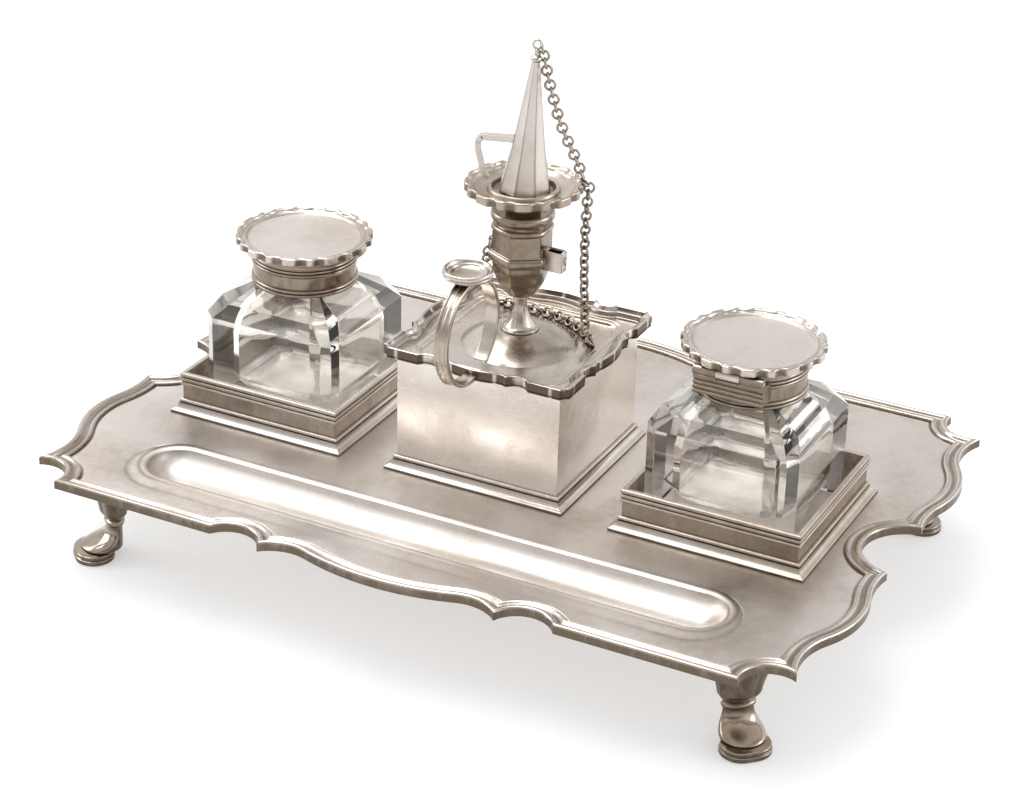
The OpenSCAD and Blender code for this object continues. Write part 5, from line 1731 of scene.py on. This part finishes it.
@dataclass
class Snuffer:
    """The snuffer: an eight-sided hollow cone with a hook, and a finial with the chain's first ring."""

    ring_z: float
    mouth_r: float = 9.5
    height: float = 47.0
    lean: float = 3.2
    neck: float = 4.6
    ring_r: float = 1.5
    hook_top: float = 18.5
    hook_reach: float = 17.5
    sides: int = 8

    def __post_init__(self) -> None:
        """Works out how the snuffer stands."""
        lift = self.ring_z - 1.9 + 0.1 + self.mouth_r * math.sin(math.radians(self.lean))
        self.stands = (
            Matrix.Translation((0, 0, FIELD)) @ Matrix.Rotation(math.radians(SNUFFER_TURN), 4, "Z")
            @ Matrix.Translation((0.4, 0, lift)) @ Matrix.Rotation(math.radians(self.lean), 4, "Y")
        )

    @property
    def finial_ring(self) -> Vector:
        """The middle of the finial's ring, in the row frame."""
        return self.stands @ Vector((0, 0, self.height + self.neck + self.ring_r))

    def cone(self) -> None:
        """Builds the panelled cone."""
        h, m = self.height, self.mouth_r
        outside = curved([
            (m, 0.6), (0.96 * m, 1.6), (0.79 * m, 0.2 * h), (0.65 * m, 0.34 * h), (0.525 * m, 0.5 * h),
            (0.34 * m, 0.75 * h), (0.16 * m, h),
        ], 4)
        inside = [(0.001, 0.62 * h), (0.3 * m, 0.55 * h), (0.62 * m, 0.2 * h), (0.85 * m, 0.9), (0.86 * m, 0.0)]
        around = angles(10 * self.sides) + math.pi / self.sides
        rings = [circle(q, around, z) for q, z in inside]
        rings += [lifted(self.panel(q), z) for q, z in np.vstack([[(m - 0.1, 0.0), (m, 0.25)], outside])]
        Shell().net(rings).fan(rings[-1], (0, 0, h)).moved(self.stands).make(
            "snuffer_panels", "snuffer", Finish.CONE, Slot.PLAIN, "snuffer_cone", crease=22, painted=self.creases)

    def creases(self, places: Array) -> Array:
        """Darker colour along the edges between the panels and round the foot.

        Args:
            places: The cone's points.

        Returns:
            How much darker, from 0 up.
        """
        back = np.array(self.stands.inverted())
        x, y, z = (places @ back[:3, :3].T + back[:3, 3]).T
        panel = 360 / self.sides
        off = np.abs((np.degrees(np.arctan2(y, x)) + panel / 2) % panel - panel / 2)
        return 0.75 * share(1 - np.abs(off - panel / 2) / 3.5) + 0.4 * share(1 - z / 2.5)

    def panel(self, corner: float) -> Array:
        """An eight-sided ring whose sides are slightly hollow.

        Args:
            corner: The distance of a corner from the middle.

        Returns:
            The ring's points.
        """
        corners = circle(corner, angles(self.sides) + math.pi / self.sides, 0.0)[:, :2]
        out = []
        for i in range(self.sides):
            for t in (0, 0.07, 0.15, 0.25, 0.375, 0.5, 0.625, 0.75, 0.85, 0.93):
                place = corners[i] * (1 - t) + corners[(i + 1) % self.sides] * t
                out.append(place * (1 - 0.028 * math.sin(math.pi * t)))
        return np.array(out)

    def hook(self) -> None:
        """Builds the hook's strip, which narrows toward its tip."""
        reach, top, bend = -self.hook_reach, self.hook_top, 2.2
        path = [(-5.2, top), (-8.2, top), (reach + bend, top)]
        for a in np.radians((110, 130, 150, 170, 180)):
            path.append((reach + bend + bend * math.cos(a), top - bend + bend * math.sin(a)))
        path += [
            (reach + 0.3, top - 5), (reach + 1.2, top - 8), (reach + 2.2, top - 11.6), (reach + 2.8, top - 13.2),
            (reach + 3.6, top - 14.2), (reach + 4.6, top - 14.7),
        ]
        line = curved(path, 3)
        side = np.gradient(line, axis=0)
        side = np.column_stack([-side[:, 1], side[:, 0]]) / np.linalg.norm(side, axis=1)[:, None]
        corners = np.array([(-1, -1), (1, -1), (1, 1), (-1, 1)], float)
        rings = []
        for place, out, t in zip(line, side, np.linspace(0, 1, len(line))):
            half, width = 1.05 * (1 - 0.4 * max(0.0, 4 * t - 3)), 1.3 * (1 + 0.25 * max(0.0, 1 - 6 * t))
            ring = eased(corners * [half, width], 0.22, 3, closed=True)
            rings.append(np.column_stack([place[0] + out[0] * ring[:, 0], ring[:, 1], place[1] + out[1] * ring[:, 0]]))
        Shell().net(rings).cap(rings[0][::-1]).cap(rings[-1]).moved(self.stands).make(
            "hook_strip", "snuffer", Finish.CONE, Slot.PLAIN, "snuffer_hook", crease=40)

    def finial(self) -> None:
        """Builds the finial and its ring."""
        line = curved([
            (1.6, 0.0), (1.75, 0.3), (2.05, 0.8), (2.1, 1.2), (1.85, 1.75), (1.35, 2.15), (1.0, 2.6), (0.9, 3.3),
            (1.05, 3.8), (1.05, 4.2), (0.85, 4.5), (0.4, 4.62), (0, 4.64),
        ], 3)
        shell = Shell().turned(np.vstack([[(0, 0)], line]), 40)
        shell.joined(Shell().hoop(self.ring_r, 0.42, 48).shifted(z=self.neck + self.ring_r))
        shell.moved(self.stands @ Matrix.Translation((0, 0, self.height)))
        shell.make("finial_turning", "snuffer", Finish.TURNED, Slot.PLAIN, "snuffer_finial", crease=50)

    def build(self) -> None:
        """Builds the snuffer."""
        self.cone()
        self.hook()
        self.finial()


@dataclass
class Chain:
    """A run of round links threaded one through the next along a route."""

    name: str
    node: str
    route: Sequence[Sequence[float]]
    turns: tuple[float, float]
    link_r: float = 1.78
    wire_r: float = 0.4

    @property
    def pitch(self) -> float:
        """Distance from link to link."""
        return 2 * (self.link_r - self.wire_r) - 0.08

    def places(self) -> list[tuple[Array, Array]]:
        """The place of each link.

        Returns:
            The middle and the direction of each.
        """
        route = curved(self.route, 12)
        run = np.concatenate([[0], np.cumsum(np.linalg.norm(np.diff(route, axis=0), axis=1))])

        def at(s: float) -> Array:
            """The place at a distance along the route."""
            return np.array([np.interp(s, run, route[:, k]) for k in range(3)])

        out = []
        for i in range(int(run[-1] / self.pitch) + 1):
            s = i * self.pitch
            way = at(s + 0.7) - at(max(0, s - 0.7))
            out.append((at(s), way / np.linalg.norm(way)))
        return out

    def shell(self) -> Shell:
        """All links, each turned a quarter from the last.

        Returns:
            The links as one shell.
        """
        links = Shell()
        for i, (p, q) in enumerate(self.places()):
            roll = self.turns[0] + (self.turns[1] - self.turns[0]) * min(1, i / 12) + 90 * (i % 2)
            links.joined(Shell().hoop(self.link_r - 0.2 * self.wire_r, 1.2 * self.wire_r, 28, 10, 1.03).moved(
                Matrix.Translation((p[0], p[1], p[2] + FIELD)) @ Matrix.Rotation(math.atan2(q[1], q[0]), 4, "Z")
                @ Matrix.Rotation(math.acos(max(-1.0, min(1.0, q[2]))), 4, "Y")
                @ Matrix.Rotation(math.radians(roll), 4, "Z")
            ))
        return links

    def build(
        self, body: str, joined_to: Optional[str] = None, start: Optional[Vector] = None, end: Optional[Vector] = None,
    ) -> None:
        """Builds the run.

        Args:
            body: The body that it rides on, when joined_to is not given.
            joined_to: When given, the run rides on no body.
            start: Where it begins to bend from one body to the other; not used.
            end: Where it ends bending; not used.
        """
        shell, alone = self.shell(), joined_to is None
        piece = shell.make(self.name, body, Finish.CHAIN, Slot.CHAIN, self.node, crease=80, ride=alone)
        if not alone:
            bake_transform(piece)


def leaning(distance: float, height: float) -> tuple[float, float, float]:
    """A place at a distance from the middle in the direction of the snuffer's lean."""
    a = math.radians(SNUFFER_TURN)
    return (distance * math.cos(a), distance * math.sin(a), height)


def hang_chain(stick: Chamberstick, nozzle: Nozzle, snuffer: Snuffer) -> None:
    """Builds the chain, from the snuffer's ring over the drip pan and across the chamberstick's pan to the eye.

    Args:
        stick: The chamberstick.
        nozzle: The nozzle.
        snuffer: The snuffer.
    """
    ring, rim, r = snuffer.finial_ring, stick.top + nozzle.lift, nozzle.radius
    out, up = math.hypot(ring.x, ring.y), ring.z - FIELD
    upper = [
        leaning(out + 1.7, up - 1.4), leaning(out + 2.4, up - 4.4), leaning(out + 4.6, up - 14),
        leaning(out + 8.6, up - 28), leaning(r - 3.2, rim + 11), leaning(r - 0.6, rim + 4.6),
    ]
    Chain("chain_over_snuffer", "chain_upper", upper, (90, 90)).build(
        "nozzle", "snuffer", Vector(leaning(r, rim + 6 + FIELD)) * MM, Vector(leaning(r, rim + 42 + FIELD)) * MM)
    hang, lie = r + 2.45, stick.well_z + 1.66
    hanging = [
        leaning(r + 0.2, rim + 1.9), leaning(hang - 0.5, rim + 0.2), leaning(hang - 0.9, rim - 4),
        leaning(hang - 1.3, rim - 18), leaning(hang - 1.0, rim - 36), leaning(hang, lie + 4.2),
    ]
    Chain("chain_from_nozzle", "chain_hanging", hanging, (90, 45)).build(
        "chamberstick", "nozzle", Vector((0.018, 0.009, (lie + 6 + FIELD) * MM)),
        Vector((0.018, 0.009, (rim - 6 + FIELD) * MM)))
    x, z = stick.eye_x, stick.eye_z
    climb = [
        (-x - 1.1, 0, z - 1.9), (-x - 2.2, -0.5, z - 8), (-14.6, 3, 61), (-17.4, 11.4, 50.5), (-20.4, 19, lie + 0.8),
    ]
    flat = [(-21, 23.2), (-16, 24.6), (-7, 24.4), (5, 23.3), (15.7, 17.9), (21.2, 12.8), (23.9, 8.6)]
    lying = climb + [(*place, lie) for place in flat]
    Chain("chain_on_pan", "chain_lying", lying, (90, 45)).build("chamberstick")


# Studio


@dataclass
class Studio:
    """The camera, the lamps, the pale floor and the backdrop's light."""

    lens: float = 94.12
    azimuth: float = 26.48
    elevation: float = 27.17
    roll: float = 1.52
    shift: Triple = (1.62, -16.533, 975.996)
    paper: Triple = (0.94, 0.94, 0.94)

    def axes(self) -> tuple[Vector, Vector, Vector]:
        """The camera's own axes.

        Returns:
            Its right, up and back directions.
        """
        a, e, r = (math.radians(v) for v in (self.azimuth, self.elevation, self.roll))
        back = Vector((math.sin(a) * math.cos(e), -math.cos(a) * math.cos(e), math.sin(e)))
        right = Vector((math.cos(a), math.sin(a), 0))
        up = back.cross(right)
        return math.cos(r) * right + math.sin(r) * up, -math.sin(r) * right + math.cos(r) * up, back

    def camera(self) -> None:
        """Puts the camera where the photograph was taken from."""
        right, up, back = self.axes()
        x, y, z = self.shift
        place = -x * right - y * up + z * back + Vector((0, 0, FIELD))
        data = bpy.data.cameras.new("camera")
        data.lens = self.lens
        data.sensor_width = 36
        data.clip_end = 20
        eye = bpy.data.objects.new("camera", data)
        eye.matrix_world = Matrix.Translation(place * MM) @ Matrix((right, up, back)).transposed().to_4x4()
        bpy.context.scene.collection.objects.link(eye)
        bpy.context.scene.camera = eye

    def lamp(self, name: str, place: Vector, aim: Vector, size: tuple[float, float], power: float) -> None:
        """Adds one soft lamp.

        Args:
            name: Its name.
            place: Its place, in metres.
            aim: The point that it faces.
            size: Its width and height.
            power: Its power in watts.
        """
        data = bpy.data.lights.new(name, "AREA")
        data.shape = "RECTANGLE"
        data.size, data.size_y = size
        data.energy = power
        lamp = bpy.data.objects.new(name, data)
        lamp.location = place
        lamp.rotation_euler = (place - aim).to_track_quat("Z", "Y").to_euler()
        bpy.context.scene.collection.objects.link(lamp)

    def backdrop(self) -> None:
        """Sets the world: white to the camera and through glass, a soft studio to polished metal."""
        world = bpy.data.worlds.new("studio")
        bpy.context.scene.world = world
        g = Graph(world)
        way = g.node("ShaderNodeTexCoord").out("Generated")
        up = g.node("ShaderNodeSeparateXYZ", {}, {0: way}).out("Z")
        _, _, back = self.axes()
        flat = Vector((back.x, back.y, 0)).normalized()
        toward, across = (
            g.node("ShaderNodeVectorMath", {"operation": "DOT_PRODUCT"}, {0: way, 1: side}).out("Value")
            for side in (tuple(flat), (-0.895, -0.446, 0.0)))
        sky = g.node("ShaderNodeValToRGB", {"stops": [
            (place, (light, light - 0.01, light - 0.02)) for place, light in (
                (0.0, 0.8), (0.49, 0.8), (0.53, 0.9), (0.62, 0.76), (0.7, 0.73), (0.78, 0.88), (0.88, 0.5), (1.0, 0.85))
        ]}, {0: up * 0.5 + 0.5}).out()
        level = 0.72 + 0.36 * across.rising(-0.45, 0.3)
        level = level + 0.75 * (1 - across.rising(-0.92, -0.45)) - 0.4 * across.rising(0.4, 0.85)
        lit = g.node("ShaderNodeVectorMath", {"operation": "SCALE"}, {0: sky, "Scale": level}).out()
        dark = (toward.rising(0.62, 0.96) * (1 - up.rising(0.65, 0.95)) * up.rising(0.08, 0.34)).limited()
        room = g.blend(dark * 0.85, lit, (0.1, 0.09, 0.085))
        path = g.node("ShaderNodeLightPath")
        plain = (path.out("Is Camera Ray") + path.out("Is Transmission Ray")).limited()
        shown = g.blend(path.out("Is Glossy Ray"), (0.82, 0.82, 0.83), room)
        seen = g.blend(plain, shown, (1.0, 1.0, 1.0))
        g.finish(g.node("ShaderNodeBackground", {}, {"Color": seen, "Strength": 1.0}))

    def floor(self) -> None:
        """Lays the pale floor."""
        disc = Shell().net([circle(r, angles(96), -0.0002) for r in (1e-3, 0.15, 0.3, 0.5, 0.9, 1.6)])
        mesh = bpy.data.meshes.new("floor")
        mesh.from_pydata(np.vstack(disc.points).tolist(), [], disc.faces)
        floor = bpy.data.objects.new("floor", mesh)
        bpy.context.scene.collection.objects.link(floor)
        paper = bpy.data.materials.new("floor_paper")
        g = Graph(paper)
        matt = g.node("ShaderNodeBsdfPrincipled", {}, {
            "Base Color": self.paper, "Roughness": 0.9, "Specular IOR Level": 0.0,
        })
        path = g.node("ShaderNodeLightPath")
        seen = path.out("Is Camera Ray") + path.out("Is Transmission Ray")
        shown = (seen + 0.15 * path.out("Is Glossy Ray")).limited()
        glow = g.node("ShaderNodeEmission", {}, {"Color": g.blend(shown, (0.9, 0.9, 0.9), (1.35, 1.35, 1.35))})
        g.finish(g.node("ShaderNodeMixShader", {}, {0: 0.3, 1: matt, 2: glow}))
        mesh.materials.append(paper)

    def build(self) -> None:
        """Sets up the studio."""
        scene = bpy.context.scene
        scene.view_settings.view_transform = "Standard"
        self.camera()
        self.backdrop()
        self.floor()
        aim = Vector((0, 0, 0.05))
        for name, place, size, power in (
            ("overhead", (-0.4, 0.1, 1.35), (1.1, 0.9), 8.0), ("left", (-1.3, -0.25, 0.75), (0.7, 0.9), 5.0),
            ("right", (1.2, 0.5, 0.6), (0.5, 0.8), 2.5),
        ):
            self.lamp(name, Vector(place), aim, size, power)


def main() -> None:
    """Builds the inkstand and its studio."""
    logging.basicConfig(level=logging.INFO, format="%(name)s %(message)s")
    foot_x, foot_y, gallery_x = 122.8, 79.4, 90.0
    Studio().build()
    Tray().build()
    for name, x, y, toward in (
        ("front_left_foot", -1, -1, 225), ("front_right_foot", 1, -1, 315), ("back_left_foot", -1, 1, 135),
        ("back_right_foot", 1, 1, 45),
    ):
        Foot(name, foot_x * x, foot_y * y, toward).build()
    Gallery("left_gallery", -gallery_x).build()
    Gallery("right_gallery", gallery_x).build()
    StampBox().build()
    Inkwell(-1).build()
    Inkwell(1).build()
    stick = Chamberstick()
    stick.build()
    nozzle = Nozzle(stick.top)
    nozzle.build()
    snuffer = Snuffer(stick.top + nozzle.lift)
    snuffer.build()
    hang_chain(stick, nozzle, snuffer)


if __name__ == "__main__":
    main()
